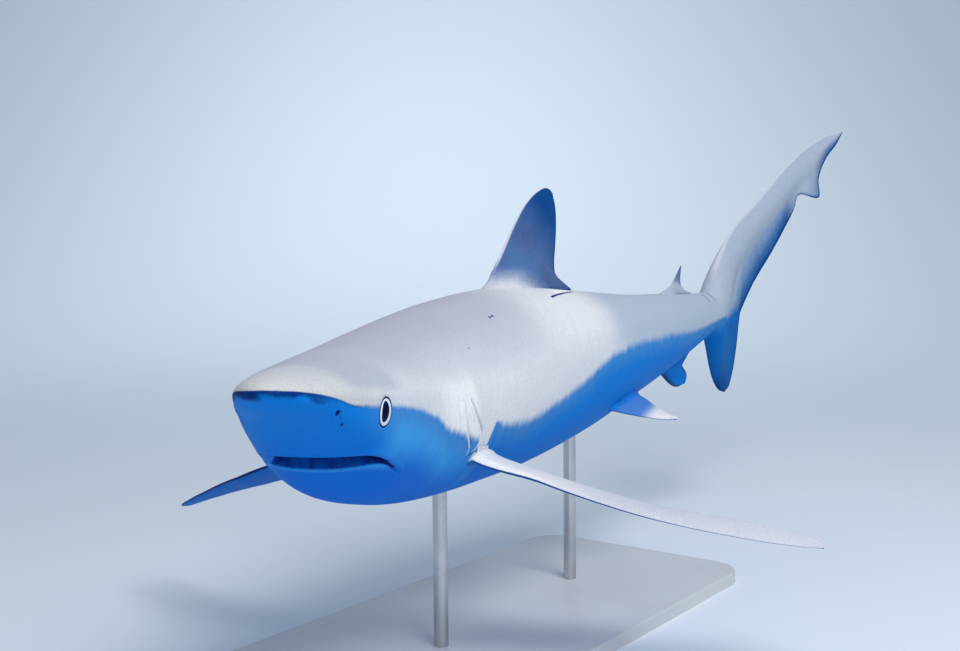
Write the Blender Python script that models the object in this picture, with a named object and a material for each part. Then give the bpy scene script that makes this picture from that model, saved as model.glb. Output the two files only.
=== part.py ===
"""A life-size model of a blue shark, turning to its left, on a plain two-rod display stand.

The shark is drawn straight first, in shares of its total length: "along" runs from the snout tip to the
tail, "left" towards the shark's left side and "up" to its back. place() then lays those points on the
bent spine, in metres, with the floor at z = 0 and the stand's centre at the origin.
"""

import math

import bmesh
import bpy
import numpy as np

# Driving sizes, in metres
LENGTH = 2.20  # from the snout tip to the tip of the tail, along the spine
AXIS_HEIGHT = 0.43  # of the trunk's axis above the floor
CUT = 0.0003  # the gap where two solids meet
EDGE = 0.0012  # half the thickness added all over a fin, so that its rim isn't a knife
EYE_RADII = (0.0115, 0.0165, 0.0185)  # into the head, along it, upright
BASE_SIZE = (0.44, 0.94, 0.022)  # the stand's plate: wide, long, thick
BASE_CORNER = 0.060
ROD_RADIUS = 0.011
ROD_STATIONS = (("front", 0.285), ("rear", 0.470))  # shares of the length where they meet the belly
PLATE_STATION = 0.370  # the share of the length that stands over the plate's centre

# The body's outline, in shares of the length: along, half width, above the axis, below it, and how
# square the section is above and below (2 is an ellipse, more is boxier, less is sharper at the side)
BODY = (
    (0.000, 0.0000, 0.0000, 0.0000, 2.00, 2.00),  # snout tip
    (0.012, 0.0145, 0.0075, 0.0070, 1.85, 2.20),
    (0.048, 0.0285, 0.0145, 0.0190, 1.80, 2.50),  # nostrils
    (0.080, 0.0375, 0.0190, 0.0360, 1.85, 2.50),  # eyes
    (0.120, 0.0455, 0.0245, 0.0560, 1.95, 2.35),  # corners of the mouth
    (0.165, 0.0505, 0.0315, 0.0650, 2.00, 2.20),  # first gill slit
    (0.215, 0.0540, 0.0400, 0.0715, 2.00, 2.10),  # last gill slit
    (0.300, 0.0560, 0.0515, 0.0775, 2.00, 2.05),
    (0.380, 0.0545, 0.0560, 0.0765, 1.95, 2.05),  # first dorsal fin
    (0.470, 0.0465, 0.0490, 0.0645, 1.95, 2.05),
    (0.560, 0.0345, 0.0410, 0.0465, 1.95, 2.00),
    (0.640, 0.0245, 0.0350, 0.0330, 1.95, 1.95),  # second dorsal and anal fins
    (0.700, 0.0180, 0.0275, 0.0230, 2.00, 2.00),
    (0.740, 0.0145, 0.0230, 0.0170, 2.00, 2.00),  # root of the tail fin
    (0.780, 0.0120, 0.0180, 0.0160, 2.00, 2.00),
)
# The spine in plan: along, and how far it has turned to the left there, in degrees
TURN = (
    (0.00, -28.5), (0.10, -28.5), (0.25, -13.5), (0.42, 0.0),
    (0.60, -2.5), (0.74, -3.0), (0.95, 27.0), (1.00, 27.0),
)
# The spine from the side: along, and its slope in degrees. The snout is held up, and so is the tail
RISE = ((0.00, -8.5), (0.10, -8.5), (0.25, 0.0), (0.55, 0.0), (0.75, 7.5), (1.00, 7.5))

# Where the body is parted: name and the shares of the length at its ends
SEGMENTS = (
    ("head", 0.000, 0.150),
    ("gill_region", 0.150, 0.228),
    ("trunk_front", 0.228, 0.355),
    ("trunk_middle", 0.355, 0.490),
    ("trunk_rear", 0.490, 0.610),
    ("tail_stem", 0.610, 0.738),  # to the root of the tail fin
)
SNOUT_TIP = 0.0006  # where the first ring is, just behind the tip
RING_SIDES = 28
RING_SPACING = 0.020  # of the body's rings, in shares of the length

# The mouth: a parabola on the underside, from its front to its corners
MOUTH_FRONT = 0.0740
MOUTH_CORNER = (0.1230, 0.0358)  # along, left
JAW_END = 0.1495
JAW_TOP = (-0.0275, -0.0405)  # height of the jaw's roof at its front and at the corners
MOUTH_GAPE = 0.0040  # between the lips
LIP_SETBACK = 0.0015  # of the lower lip behind the upper

# The fins on the back and belly: along, and height beyond the skin there
FIRST_DORSAL = {
    "side": 1,
    "leading": (
        (0.343, -0.0120), (0.352, 0.0020), (0.374, 0.0275), (0.389, 0.0455),
        (0.407, 0.0635), (0.423, 0.0735), (0.4365, 0.0775), (0.442, 0.0770),
    ),
    "trailing": (
        (0.438, -0.0120), (0.443, 0.0000), (0.4735, 0.0015), (0.456, 0.0075), (0.4485, 0.0150),
        (0.449, 0.0310), (0.4505, 0.0500), (0.4475, 0.0665), (0.443, 0.0765),
    ),
    "thick": 0.0052,
    "rows": 14,
}
SECOND_DORSAL = {
    "side": 1,
    "leading": (
        (0.620, -0.0080), (0.633, 0.0010), (0.646, 0.0070),
        (0.659, 0.0155), (0.669, 0.0235), (0.675, 0.0270),
    ),
    "trailing": (
        (0.658, -0.0080), (0.664, 0.0000), (0.6955, 0.0020), (0.677, 0.0060),
        (0.672, 0.0125), (0.6735, 0.0200), (0.6755, 0.0265),
    ),
    "thick": 0.0030,
    "rows": 10,
}
ANAL = {
    "side": -1,
    "leading": (
        (0.620, -0.0080), (0.630, 0.0015), (0.6395, 0.0105),
        (0.650, 0.0190), (0.6665, 0.0270), (0.686, 0.0275),
    ),
    "trailing": (
        (0.664, -0.0080), (0.670, 0.0000), (0.700, 0.0030), (0.684, 0.0065),
        (0.678, 0.0110), (0.6805, 0.0180), (0.6875, 0.0265),
    ),
    "thick": 0.0030,
    "rows": 10,
}
# The tail fin's two lobes: along, and height from the spine. They part on a line from root to fork
TAIL_ROOT = 0.738
FORK = (0.806, -0.0150)
UPPER_LOBE = {
    "leading": (
        (0.738, 0.0230), (0.748, 0.0390), (0.7685, 0.0600), (0.7995, 0.0810), (0.835, 0.0980),
        (0.883, 0.1240), (0.927, 0.1470), (0.952, 0.1570), (0.969, 0.1590),
    ),
    "trailing": (
        (0.738, -0.0170), (0.770, -0.0190), (0.806, -0.0150), (0.836, 0.0180), (0.862, 0.0400),
        (0.884, 0.0635), (0.902, 0.0880), (0.9045, 0.0965), (0.935, 0.0935),
        (0.932, 0.1090), (0.948, 0.1360), (0.969, 0.1580),
    ),
    "thick": 0.0068,
    "rows": 26,
}
LOWER_LOBE = {
    "leading": (
        (0.744, 0.0060), (0.740, -0.0190), (0.7415, -0.0400),
        (0.7525, -0.0640), (0.770, -0.0820), (0.7785, -0.0850),
    ),
    "trailing": (
        (0.806, 0.0060), (0.805, -0.0160), (0.801, -0.0400),
        (0.7935, -0.0635), (0.7835, -0.0815), (0.7795, -0.0845),
    ),
    "thick": 0.0036,
    "rows": 12,
}
# The paired fins: the root of the leading edge on the body, and the outline as (back, out) from it.
# For the left and the right fin, in degrees: how far the span hangs below level at the root and the
# tip, and how far the chord is pitched nose up at the root, halfway out and at the tip
PECTORAL = {
    "root": (0.2265, 0.0465, -0.0400),
    "droop": ((26.3, 12.5), (18, 25.5)),
    "pitch": ((15, 4, -24), (19, 18, 17)),
    "leading": (
        (-0.004, -0.030), (0.000, 0.000), (0.021, 0.052), (0.046, 0.109), (0.077, 0.162), (0.099, 0.195),
        (0.110, 0.209), (0.117, 0.2155),
    ),
    "trailing": (
        (0.044, -0.030), (0.050, 0.000), (0.074, 0.011), (0.075, 0.035), (0.081, 0.076), (0.091, 0.122),
        (0.105, 0.168), (0.116, 0.196), (0.121, 0.209), (0.1195, 0.215),
    ),
    "thick": (0.0029, 0.0006),
    "rows": 20,
}
PELVIC = {
    "root": (0.495, 0.0260, -0.0420),
    "droop": ((34, 30), (34, 30)),
    "pitch": ((0, 0, 0), (0, 0, 0)),
    "leading": (
        (-0.004, -0.020), (0.000, 0.000), (0.012, 0.014), (0.027, 0.026), (0.042, 0.033), (0.055, 0.0355),
    ),
    "trailing": (
        (0.034, -0.020), (0.040, 0.000), (0.061, 0.004), (0.049, 0.009),
        (0.0465, 0.017), (0.053, 0.027), (0.0575, 0.0345),
    ),
    "thick": (0.0032, 0.0010),
    "rows": 10,
}
FIN_SIDES = 18

EYE = (0.0845, 0.0340, -0.0070)  # centre of the left eyeball: along, left, up
EYE_FORWARD = 13  # degrees that the eyes look ahead of straight sideways

# Colours (linear) and finish
SLATE = (0.155, 0.205, 0.285)
STEEL_GREY = (0.55, 0.56, 0.57)
PALE_GREY = (0.62, 0.63, 0.64)
EYE_BLACK = (0.010, 0.012, 0.018)


# ------------------------------------------------------------------------------------------ curves


def smooth(x, xs, ys):
    """A cubic curve through the points (xs, ys), read at x. Each point's slope is its neighbours' own."""
    xs = np.asarray(xs, float)
    ys = np.asarray(ys, float)
    slope = np.gradient(ys, xs, axis=0)
    i = np.clip(np.searchsorted(xs, x, side="right") - 1, 0, len(xs) - 2)
    gap = xs[i + 1] - xs[i]
    t = (np.clip(x, xs[0], xs[-1]) - xs[i]) / gap
    if ys.ndim > 1:
        t = t[..., None]
        gap = gap[..., None]
    low = (1 + 2 * t) * (1 - t) ** 2 * ys[i] + t * (1 - t) ** 2 * gap * slope[i]
    high = t * t * (3 - 2 * t) * ys[i + 1] - t * t * (1 - t) * gap * slope[i + 1]
    return low + high


def outline(points, share):
    """A smooth curve through points, read at shares 0 to 1 of its chord length."""
    points = np.asarray(points, float)
    run = np.concatenate([[0], np.cumsum(np.linalg.norm(np.diff(points, axis=0), axis=1))])
    return smooth(np.asarray(share, float) * run[-1], run, points)


def spine_table(steps=500):
    """The spine at even steps: share of the length, x, y, z in metres, and its turn in radians."""
    share = np.linspace(0, 1, steps + 1)
    turn = np.radians(np.interp(share, *zip(*TURN)))
    rise = np.radians(np.interp(share, *zip(*RISE)))
    window = np.ones(37) / 37
    turn = np.convolve(np.pad(turn, 18, mode="edge"), window, "valid")
    rise = np.convolve(np.pad(rise, 18, mode="edge"), window, "valid")
    step = LENGTH / steps
    walk = np.stack([np.sin(turn), np.cos(turn), np.tan(rise)], axis=1) * step
    centre = np.concatenate([[[0, 0, 0]], np.cumsum((walk[1:] + walk[:-1]) / 2, axis=0)])
    over_plate = int(round(PLATE_STATION * steps))
    centre -= centre[over_plate]
    centre[:, 2] += AXIS_HEIGHT
    return share, centre, turn


SPINE = spine_table()


def spine_at(share):
    """The spine's point and turn at shares of the length."""
    table, centre, turn = SPINE
    point = np.stack([np.interp(share, table, centre[:, k]) for k in range(3)], axis=-1)
    return point, np.interp(share, table, turn)


def place(along, left, up):
    """Straight-body coordinates, in shares of the length, as points on the bent spine in metres."""
    point, turn = spine_at(along)
    side = np.stack([np.cos(turn), -np.sin(turn), np.zeros_like(turn)], axis=-1)
    height = np.stack([np.zeros_like(turn), np.zeros_like(turn), np.ones_like(turn)], axis=-1)
    return point + LENGTH * (np.asarray(left)[..., None] * side + np.asarray(up)[..., None] * height)


# ------------------------------------------------------------------------------------------- solids


def body_at(along):
    """Half width, height above the axis, depth below it and both squarenesses, at shares of the length.

    They are smooth over the square root of the distance, which rounds the snout like a parabola."""
    table = np.array(BODY)
    return smooth(np.sqrt(along), np.sqrt(table[:, 0]), table[:, 1:]).T


def body_rings(along, grow=0.0, sides=RING_SIDES):
    """Rings of the body at shares of the length, each a superellipse, grown by a margin in metres."""
    angle = np.arange(sides) / sides * 2 * math.pi
    wide, above, below, square_up, square_down = (v[:, None] for v in body_at(along))
    cosine, sine = np.cos(angle)[None, :], np.sin(angle)[None, :]
    power = 2 / np.where(sine > 0, square_up, square_down)
    margin = grow / LENGTH
    left = (wide + margin) * np.sign(cosine) * np.abs(cosine) ** power
    up = (np.where(sine > 0, above, below) + margin) * np.sign(sine) * np.abs(sine) ** power
    return place(np.repeat(along[:, None], sides, axis=1), left, up)


def new_object(name, mesh, collection):
    """An object for the mesh, in the collection."""
    obj = bpy.data.objects.new(name, mesh)
    collection.objects.link(obj)
    return obj


def skin_rings(name, rings, collection, pole_start=False, pole_end=False):
    """A closed solid over rings of points, capped flat or drawn to a point at either end."""
    rows, sides = rings.shape[:2]
    shape = bmesh.new()
    verts = [[shape.verts.new(p) for p in ring] for ring in rings]
    for a, b in zip(verts, verts[1:]):
        for k in range(sides):
            shape.faces.new((a[k], a[(k + 1) % sides], b[(k + 1) % sides], b[k]))
    for ring, pole in ((verts[0], pole_start), (verts[-1], pole_end)):
        if pole:
            middle = sum((v.co for v in ring), ring[0].co * 0) / sides
            bmesh.ops.pointmerge(shape, verts=ring, merge_co=middle)
        else:
            shape.faces.new(ring)
    bmesh.ops.recalc_face_normals(shape, faces=shape.faces)
    mesh = bpy.data.meshes.new(name)
    shape.to_mesh(mesh)
    shape.free()
    mesh.shade_smooth()
    mesh.set_sharp_from_angle(angle=math.radians(45))
    return new_object(name, mesh, collection)


def stations(start, end):
    """Shares of the length from start to end, a ring's spacing apart or closer near the snout."""
    count = max(2, math.ceil((end - start) / RING_SPACING) + 1)
    return np.linspace(start, end, count)


def combine(obj, other, operation):
    """Cuts obj by other, joins it to other or keeps what they share, and applies that."""
    modifier = obj.modifiers.new(operation.lower(), "BOOLEAN")
    modifier.operation = operation
    modifier.object = other
    modifier.solver = "EXACT"
    graph = bpy.context.evaluated_depsgraph_get()
    mesh = bpy.data.meshes.new_from_object(obj.evaluated_get(graph))
    obj.modifiers.clear()
    obj.data = mesh
    return obj


def fin_section(sides=FIN_SIDES):
    """Around a fin's section: share of the chord from the leading edge, the side's thickness and the rim's.

    The first thickness is a drop: a round nose, thickest a third of the way back, thin behind."""
    angle = np.arange(sides) / sides * 2 * math.pi
    chord = (1 - np.cos(angle)) / 2
    drop = np.sin(angle / 2) * np.cos(angle / 2) ** 2 * np.sign(np.cos(angle / 2)) / 0.385
    return chord, drop, np.sin(angle)


def fin_sheet(spec):
    """A fin's outline as rows of (chordwise, spanwise) pairs, with the row's share of the span."""
    share = np.sin(np.linspace(0, math.pi / 2, spec["rows"]))
    chord, drop, rim = fin_section()
    lead = outline(spec["leading"], share)[:, None, :]
    trail = outline(spec["trailing"], share)[:, None, :]
    return share[:, None], lead + (trail - lead) * chord[None, :, None], drop[None, :], rim[None, :]


def median_fin(name, spec, collection):
    """A fin on the back or the belly, whose heights are measured from the skin there."""
    share, sheet, drop, rim = fin_sheet(spec)
    along, height = sheet[..., 0], sheet[..., 1]
    _, above, below, _, _ = body_at(along.ravel())
    skin = (above if spec["side"] > 0 else below).reshape(along.shape)
    left = spec["thick"] * (1 - 0.8 * share) * drop * -spec["side"] + EDGE / LENGTH * rim
    return skin_rings(name, place(along, left, spec["side"] * (skin + height)), collection, pole_end=True)


def tail_lobe(name, spec, thickness, collection, pole_start=False):
    """A lobe of the tail fin, whose heights are measured from the spine."""
    share, sheet, drop, rim = fin_sheet(spec)
    left = thickness(share, drop, rim)
    return skin_rings(name, place(sheet[..., 0], left, sheet[..., 1]), collection, pole_start, pole_end=True)


def upper_lobe_thickness(share, drop, rim):
    """The stem's own oval at the root, which becomes a round rod along the upper edge with a thin web."""
    root = body_at(np.array([TAIL_ROOT]))[0][0] - EDGE / LENGTH
    fade = np.clip(1 - share / 0.45, 0, 1) ** 1.5
    rod_part = UPPER_LOBE["thick"] * (1 - fade) * (1 - 0.75 * share) * drop
    return root * fade * rim + rod_part + EDGE / LENGTH * rim


def lower_lobe_thickness(share, drop, rim):
    """Thick at the root, thinning to the tip."""
    return LOWER_LOBE["thick"] * (1 - 0.75 * share) * drop + EDGE / LENGTH * rim


def tail_block(name, side, collection):
    """A block over (side 1) or under (side -1) the line from the tail fin's root to its fork."""
    start = UPPER_LOBE["trailing"][0]
    slope = (FORK[1] - start[1]) / (FORK[0] - start[0])
    along = np.linspace(TAIL_ROOT - 0.02, FORK[0] + 0.06, 15)
    seam = FORK[1] + slope * (np.minimum(along, FORK[0]) - FORK[0]) - side * CUT / LENGTH / 2
    corners = np.array([(-0.018, 0), (0.018, 0), (0.018, side * 0.10), (-0.018, side * 0.10)])
    where = np.repeat(along[:, None], 4, axis=1)
    left = np.repeat(corners[None, :, 0], len(along), axis=0)
    return skin_rings(name, place(where, left, seam[:, None] + corners[None, :, 1]), collection)


def paired_fin(name, spec, side, collection):
    """A pectoral or pelvic fin, rigid from its root, with side 1 on the left and -1 on the right."""
    share, sheet, drop, rim = fin_sheet(spec)
    along, left, up = spec["root"]
    root = place(np.array(along), np.array(side * left), np.array(up))
    _, turn = spine_at(np.array(along))
    back = np.array([math.sin(turn), math.cos(turn), 0.0])
    out = side * np.array([math.cos(turn), -math.sin(turn), 0.0])
    high = np.array([0.0, 0.0, 1.0])
    reach = np.max(np.asarray(spec["leading"])[:, 1])
    span = sheet[..., 1]
    progress = np.clip(span / reach, 0, 1)
    own = 0 if side > 0 else 1
    sag = np.radians(np.interp(progress / 2, (0, 1), spec["droop"][own]))
    tilt = np.radians(np.interp(progress, (0, 0.5, 1), spec["pitch"][own]))
    nose = np.interp(span, *np.asarray(spec["leading"]).T[::-1])
    behind = sheet[..., 0] - nose
    thick = spec["thick"][0] + (spec["thick"][1] - spec["thick"][0]) * progress
    lift = thick * drop * side + EDGE / LENGTH * rim * side
    outward = span * np.cos(sag) + lift * np.sin(sag)
    upward = -span * np.sin(sag) - behind * np.sin(tilt) + lift * np.cos(sag)
    backward = nose + behind * np.cos(tilt)
    points = root + LENGTH * (
        backward[..., None] * back + outward[..., None] * out + upward[..., None] * high
    )
    return skin_rings(name, points, collection, pole_end=True)


def mouth_block(name, front, gape, collection):
    """A prism under the head whose front is the mouth's curve, for the lower jaw or the space it needs."""
    corner_along, corner_left = MOUTH_CORNER
    left = np.linspace(-corner_left, corner_left, 13)
    bow = (left / corner_left) ** 2
    heel_left = corner_left * 0.80
    plan_along = np.concatenate([front + (corner_along - front) * bow, [JAW_END, JAW_END]])
    plan_left = np.concatenate([left, [heel_left, -heel_left]])
    back = (plan_along - MOUTH_FRONT) / (corner_along - MOUTH_FRONT)
    roof = JAW_TOP[0] + (JAW_TOP[1] - JAW_TOP[0]) * back + gape
    floor = np.full(len(roof), -0.075)
    rings = np.stack([place(plan_along, plan_left, floor), place(plan_along, plan_left, roof)])
    return skin_rings(name, rings, collection)


def eyeball(name, side, grow, collection):
    """An eyeball, flatter into the head than it is wide, grown by a margin and set in its place."""
    shape = bmesh.new()
    bmesh.ops.create_uvsphere(shape, u_segments=20, v_segments=12, radius=1.0)
    bmesh.ops.scale(shape, verts=shape.verts, vec=[radius + grow for radius in EYE_RADII])
    mesh = bpy.data.meshes.new(name)
    shape.to_mesh(mesh)
    shape.free()
    mesh.shade_smooth()
    along, left, up = EYE
    _, turn = spine_at(np.array(along))
    ball = new_object(name, mesh, collection)
    ball.location = place(np.array(along), np.array(side * left), np.array(up))
    ball.rotation_euler.z = -turn - side * math.radians(EYE_FORWARD)
    return ball


def rod(name, station, collection, cutter):
    """An upright round rod from the plate to the belly, its top cut to the belly's curve."""
    _, _, below, _, _ = body_at(np.array([station]))
    foot = place(np.array(station), np.array(0.0), np.array(0.0))
    top = foot[2] - LENGTH * below[0] * 0.93
    bottom = BASE_SIZE[2] + CUT
    shape = bmesh.new()
    bmesh.ops.create_cone(
        shape, cap_ends=True, segments=24, radius1=ROD_RADIUS, radius2=ROD_RADIUS, depth=top - bottom
    )
    bmesh.ops.translate(shape, verts=shape.verts, vec=(foot[0], foot[1], (top + bottom) / 2))
    mesh = bpy.data.meshes.new(name)
    shape.to_mesh(mesh)
    shape.free()
    mesh.shade_smooth()
    mesh.set_sharp_from_angle(angle=math.radians(45))
    return combine(new_object(name, mesh, collection), cutter, "DIFFERENCE")


def base_plate(name, collection):
    """The stand's flat plate, with rounded corners and a small round on its upper edge."""
    wide, long, thick = BASE_SIZE
    shape = bmesh.new()
    bmesh.ops.create_cube(shape, size=1.0)
    bmesh.ops.scale(shape, verts=shape.verts, vec=(wide, long, thick))
    bmesh.ops.translate(shape, verts=shape.verts, vec=(0, 0, thick / 2))
    uprights = [e for e in shape.edges if abs(e.verts[0].co.z - e.verts[1].co.z) > thick / 2]
    bmesh.ops.bevel(shape, geom=uprights, offset=BASE_CORNER, segments=8, affect="EDGES", profile=0.5)
    rim = [e for e in shape.edges if all(v.co.z > thick * 0.99 for v in e.verts) and e.is_boundary is False]
    rim = [e for e in rim if any(abs(f.normal.z) < 0.5 for f in e.link_faces)]
    bmesh.ops.bevel(shape, geom=rim, offset=0.003, segments=2, affect="EDGES", profile=0.5)
    mesh = bpy.data.meshes.new(name)
    shape.to_mesh(mesh)
    shape.free()
    mesh.shade_smooth()
    mesh.set_sharp_from_angle(angle=math.radians(45))
    return new_object(name, mesh, collection)


def material(name, colour, roughness, metallic=0.0):
    """A plain Principled material."""
    made = bpy.data.materials.new(name)
    made.use_nodes = True
    shader = made.node_tree.nodes["Principled BSDF"]
    shader.inputs["Base Color"].default_value = (*colour, 1)
    shader.inputs["Roughness"].default_value = roughness
    shader.inputs["Metallic"].default_value = metallic
    return made


def body_pieces(shark):
    """The head, the lengths of the trunk and the stem of the tail, by name."""
    pieces = {}
    half_cut = CUT / LENGTH / 2
    for name, start, end in SEGMENTS:
        along = stations(start + half_cut, end - half_cut)
        if start == 0:
            along = np.concatenate([nose_stations(), stations(0.070, end - half_cut)])
        pieces[name] = skin_rings(name, body_rings(along), shark, pole_start=start == 0)
    return pieces


def nose_stations():
    """Shares of the length for the snout's rings, which crowd together at its tip."""
    return SNOUT_TIP + (0.06 - SNOUT_TIP) * np.linspace(0, 1, 8) ** 2


def body_envelope(helpers):
    """The whole body, a little larger than the pieces, which the fins and rods are trimmed by."""
    along = np.concatenate([nose_stations(), stations(0.070, TAIL_ROOT + 0.02)])
    return skin_rings("body_envelope", body_rings(along, grow=CUT), helpers, pole_start=True)


def open_mouth(pieces, shark, helpers):
    """Parts the lower jaw from the head, with the mouth a little open between them."""
    jaw = mouth_block("lower_jaw", MOUTH_FRONT + LIP_SETBACK, 0.0, shark)
    mouth = mouth_block("mouth_space", MOUTH_FRONT - MOUTH_GAPE, MOUTH_GAPE, helpers)
    pieces["lower_jaw"] = combine(jaw, pieces["head"], "INTERSECT")
    combine(pieces["head"], mouth, "DIFFERENCE")


def set_eyes(head, shark, helpers):
    """Both eyeballs, each in a socket cut in the head."""
    eyes = []
    for side, word in ((1, "left"), (-1, "right")):
        eyes.append(eyeball(f"eye_{word}", side, 0.0, shark))
        combine(head, eyeball(f"socket_{word}", side, CUT, helpers), "DIFFERENCE")
    return eyes


def body_fins(shark, envelope):
    """The fins on the back, the belly and the sides, by name, each trimmed to the body."""
    fins = {}
    for name, spec in (
        ("first_dorsal_fin", FIRST_DORSAL),
        ("second_dorsal_fin", SECOND_DORSAL),
        ("anal_fin", ANAL),
    ):
        fins[name] = median_fin(name, spec, shark)
    for side, word in ((1, "left"), (-1, "right")):
        for kind, spec in (("pectoral", PECTORAL), ("pelvic", PELVIC)):
            name = f"{kind}_fin_{word}"
            fins[name] = paired_fin(name, spec, side, shark)
    for fin in fins.values():
        combine(fin, envelope, "DIFFERENCE")
    return fins


def tail_fin(shark, helpers):
    """The tail fin's two lobes, by name, parted on the line from its root to its fork."""
    upper = tail_lobe("tail_fin_upper", UPPER_LOBE, upper_lobe_thickness, shark)
    lower = tail_lobe("tail_fin_lower", LOWER_LOBE, lower_lobe_thickness, shark)
    combine(upper, tail_block("under_the_seam", -1, helpers), "DIFFERENCE")
    combine(lower, tail_block("over_the_seam", 1, helpers), "DIFFERENCE")
    return {"tail_fin_upper": upper, "tail_fin_lower": lower}


def build():
    """Clears the scene and makes every piece."""
    for obj in list(bpy.data.objects):
        bpy.data.objects.remove(obj)
    shark = bpy.data.collections.new("blue_shark")
    helpers = bpy.data.collections.new("cutters")
    for collection in (shark, helpers):
        bpy.context.scene.collection.children.link(collection)

    envelope = body_envelope(helpers)
    pieces = body_pieces(shark)
    open_mouth(pieces, shark, helpers)
    eyes = set_eyes(pieces["head"], shark, helpers)
    pieces.update(body_fins(shark, envelope))
    pieces.update(tail_fin(shark, helpers))
    base = base_plate("stand_base", shark)
    rods = [rod(f"stand_rod_{word}", station, shark, envelope) for word, station in ROD_STATIONS]

    for group, finish in (
        (pieces.values(), material("skin", SLATE, 0.45)),
        (eyes, material("eye", EYE_BLACK, 0.08)),
        ([base], material("stand_plate", PALE_GREY, 0.5)),
        (rods, material("stand_steel", STEEL_GREY, 0.3, 1.0)),
    ):
        for obj in group:
            obj.data.materials.append(finish)
    for obj in helpers.objects:
        obj.hide_render = True
        obj.display_type = "WIRE"


build()
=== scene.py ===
"""Dresses the life-size blue shark model: one skin over all of its flesh, its two eyes, the display
stand's finishes, and a plain studio round it.

The shark's surfaces are worked out straight first, in shares of its total length: "along" from the
snout tip to the tail, "left" to its left side and "up" to its back. Spine.place lays such points on
the bent spine, in metres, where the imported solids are.
"""

import logging
import math
from dataclasses import dataclass, field
from enum import Enum

import bpy
import numpy as np
from mathutils import Matrix


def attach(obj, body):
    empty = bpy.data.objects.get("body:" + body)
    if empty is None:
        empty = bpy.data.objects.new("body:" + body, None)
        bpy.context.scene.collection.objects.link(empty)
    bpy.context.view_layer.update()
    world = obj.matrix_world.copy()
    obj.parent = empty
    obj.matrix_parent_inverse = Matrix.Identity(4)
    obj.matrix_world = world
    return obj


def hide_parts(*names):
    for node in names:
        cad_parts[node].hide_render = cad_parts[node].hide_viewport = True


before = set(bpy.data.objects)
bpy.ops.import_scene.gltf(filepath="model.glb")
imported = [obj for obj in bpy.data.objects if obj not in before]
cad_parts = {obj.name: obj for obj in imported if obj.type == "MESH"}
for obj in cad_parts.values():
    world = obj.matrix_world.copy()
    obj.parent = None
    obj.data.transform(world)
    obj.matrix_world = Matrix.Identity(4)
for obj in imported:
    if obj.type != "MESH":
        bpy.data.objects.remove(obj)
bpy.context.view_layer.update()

LOG = logging.getLogger("blue_shark")
Array = np.ndarray
Pair = tuple[float, float]
Points = tuple[tuple[float, ...], ...]
Colour = tuple[float, float, float]
Socket = bpy.types.NodeSocket

LENGTH = 2.20  # metres from the snout tip to the tail's, along the spine
MM = 0.001
EDGE = 1.2 * MM / LENGTH  # half a fin's thickness at its rim
NOWHERE = -9.0  # millimetres inside a mark, for a point far outside it
OPENING, FOLD, RIDGE = range(3)  # the marks that a point of the skin has: painted shade in an opening and in a fold, a painted highlight on a ridge


# ---- curves


def hermite(x: Array, xs: Array, ys: Array) -> Array:
    """A cubic curve through points, each with the slope of its neighbours.

    Args:
        x: Where to read the curve, of any shape.
        xs: The points' places, rising.
        ys: The points' values, one or more for each place.

    Returns:
        The values at x, with a last axis more if ys has one.
    """
    xs = np.asarray(xs, float)
    ys = np.asarray(ys, float)
    slope = np.gradient(ys, xs, axis=0)
    i = np.clip(np.searchsorted(xs, x, side="right") - 1, 0, len(xs) - 2)
    gap = xs[i + 1] - xs[i]
    t = (np.clip(x, xs[0], xs[-1]) - xs[i]) / gap
    if ys.ndim > 1:
        t = t[..., None]
        gap = gap[..., None]
    low = (1 + 2 * t) * (1 - t) ** 2 * ys[i] + t * (1 - t) ** 2 * gap * slope[i]
    high = t * t * (3 - 2 * t) * ys[i + 1] - t * t * (1 - t) * gap * slope[i + 1]
    return low + high


def totals(steps: Array) -> Array:
    """The running totals of steps, from 0."""
    return np.concatenate([[0], np.cumsum(steps)])


def outline(points: Points, share: Array) -> Array:
    """A smooth curve through points, read at shares 0 to 1 of its chord length."""
    spots = np.asarray(points, float)
    run = totals(np.linalg.norm(np.diff(spots, axis=0), axis=1))
    return hermite(np.asarray(share, float) * run[-1], run, spots)


def ramp(x: Array, low: float, high: float) -> Array:
    """A smooth step: 0 at low, 1 at high, level at both ends."""
    t = np.clip((x - low) / (high - low), 0, 1)
    return t * t * (3 - 2 * t)


def between(x: Array, low: float, high: float) -> Array:
    """Whether each number is more than low and less than high."""
    return (x > low) & (x < high)


def bell(x: Array, width: float) -> Array:
    """A round hump of height 1 at 0, which has fallen to 0.37 at the width."""
    return np.exp(-((x / width) ** 2))


def unit(vectors: Array) -> Array:
    """The vectors at length 1."""
    return vectors / np.maximum(np.linalg.norm(vectors, axis=-1, keepdims=True), 1e-12)


def to_curve(points: Array, curve: Array) -> tuple[Array, Array]:
    """The distance from points to a curve, and the share of the curve where it is nearest.

    Args:
        points: Points, with their coordinates on the last axis.
        curve: The curve's own points, in order.

    Returns:
        Two arrays of the points' shape: distances, and shares 0 to 1 of the curve's points.
    """
    flat = points.reshape(-1, points.shape[-1])
    best = np.full(len(flat), 1e9)
    share = np.zeros(len(flat))
    pieces = len(curve) - 1
    for k in range(pieces):
        start, step = curve[k], curve[k + 1] - curve[k]
        t = np.clip((flat - start) @ step / max(step @ step, 1e-18), 0, 1)
        far = np.linalg.norm(flat - start - t[:, None] * step, axis=1)
        nearer = far < best
        best = np.where(nearer, far, best)
        share = np.where(nearer, (k + t) / pieces, share)
    return best.reshape(points.shape[:-1]), share.reshape(points.shape[:-1])


def read_rows(grid: Array, share: Array) -> Array:
    """A grid's columns, read between its evenly spaced rows at a share 0 to 1 for each new point."""
    place = np.clip(share, 0, 1) * (len(grid) - 1)
    low = np.minimum(place.astype(int), len(grid) - 2)
    part = (place - low)[..., None]
    columns = np.broadcast_to(np.arange(grid.shape[1]), low.shape)
    return grid[low, columns] * (1 - part) + grid[low + 1, columns] * part


# ---- spine and body


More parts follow.
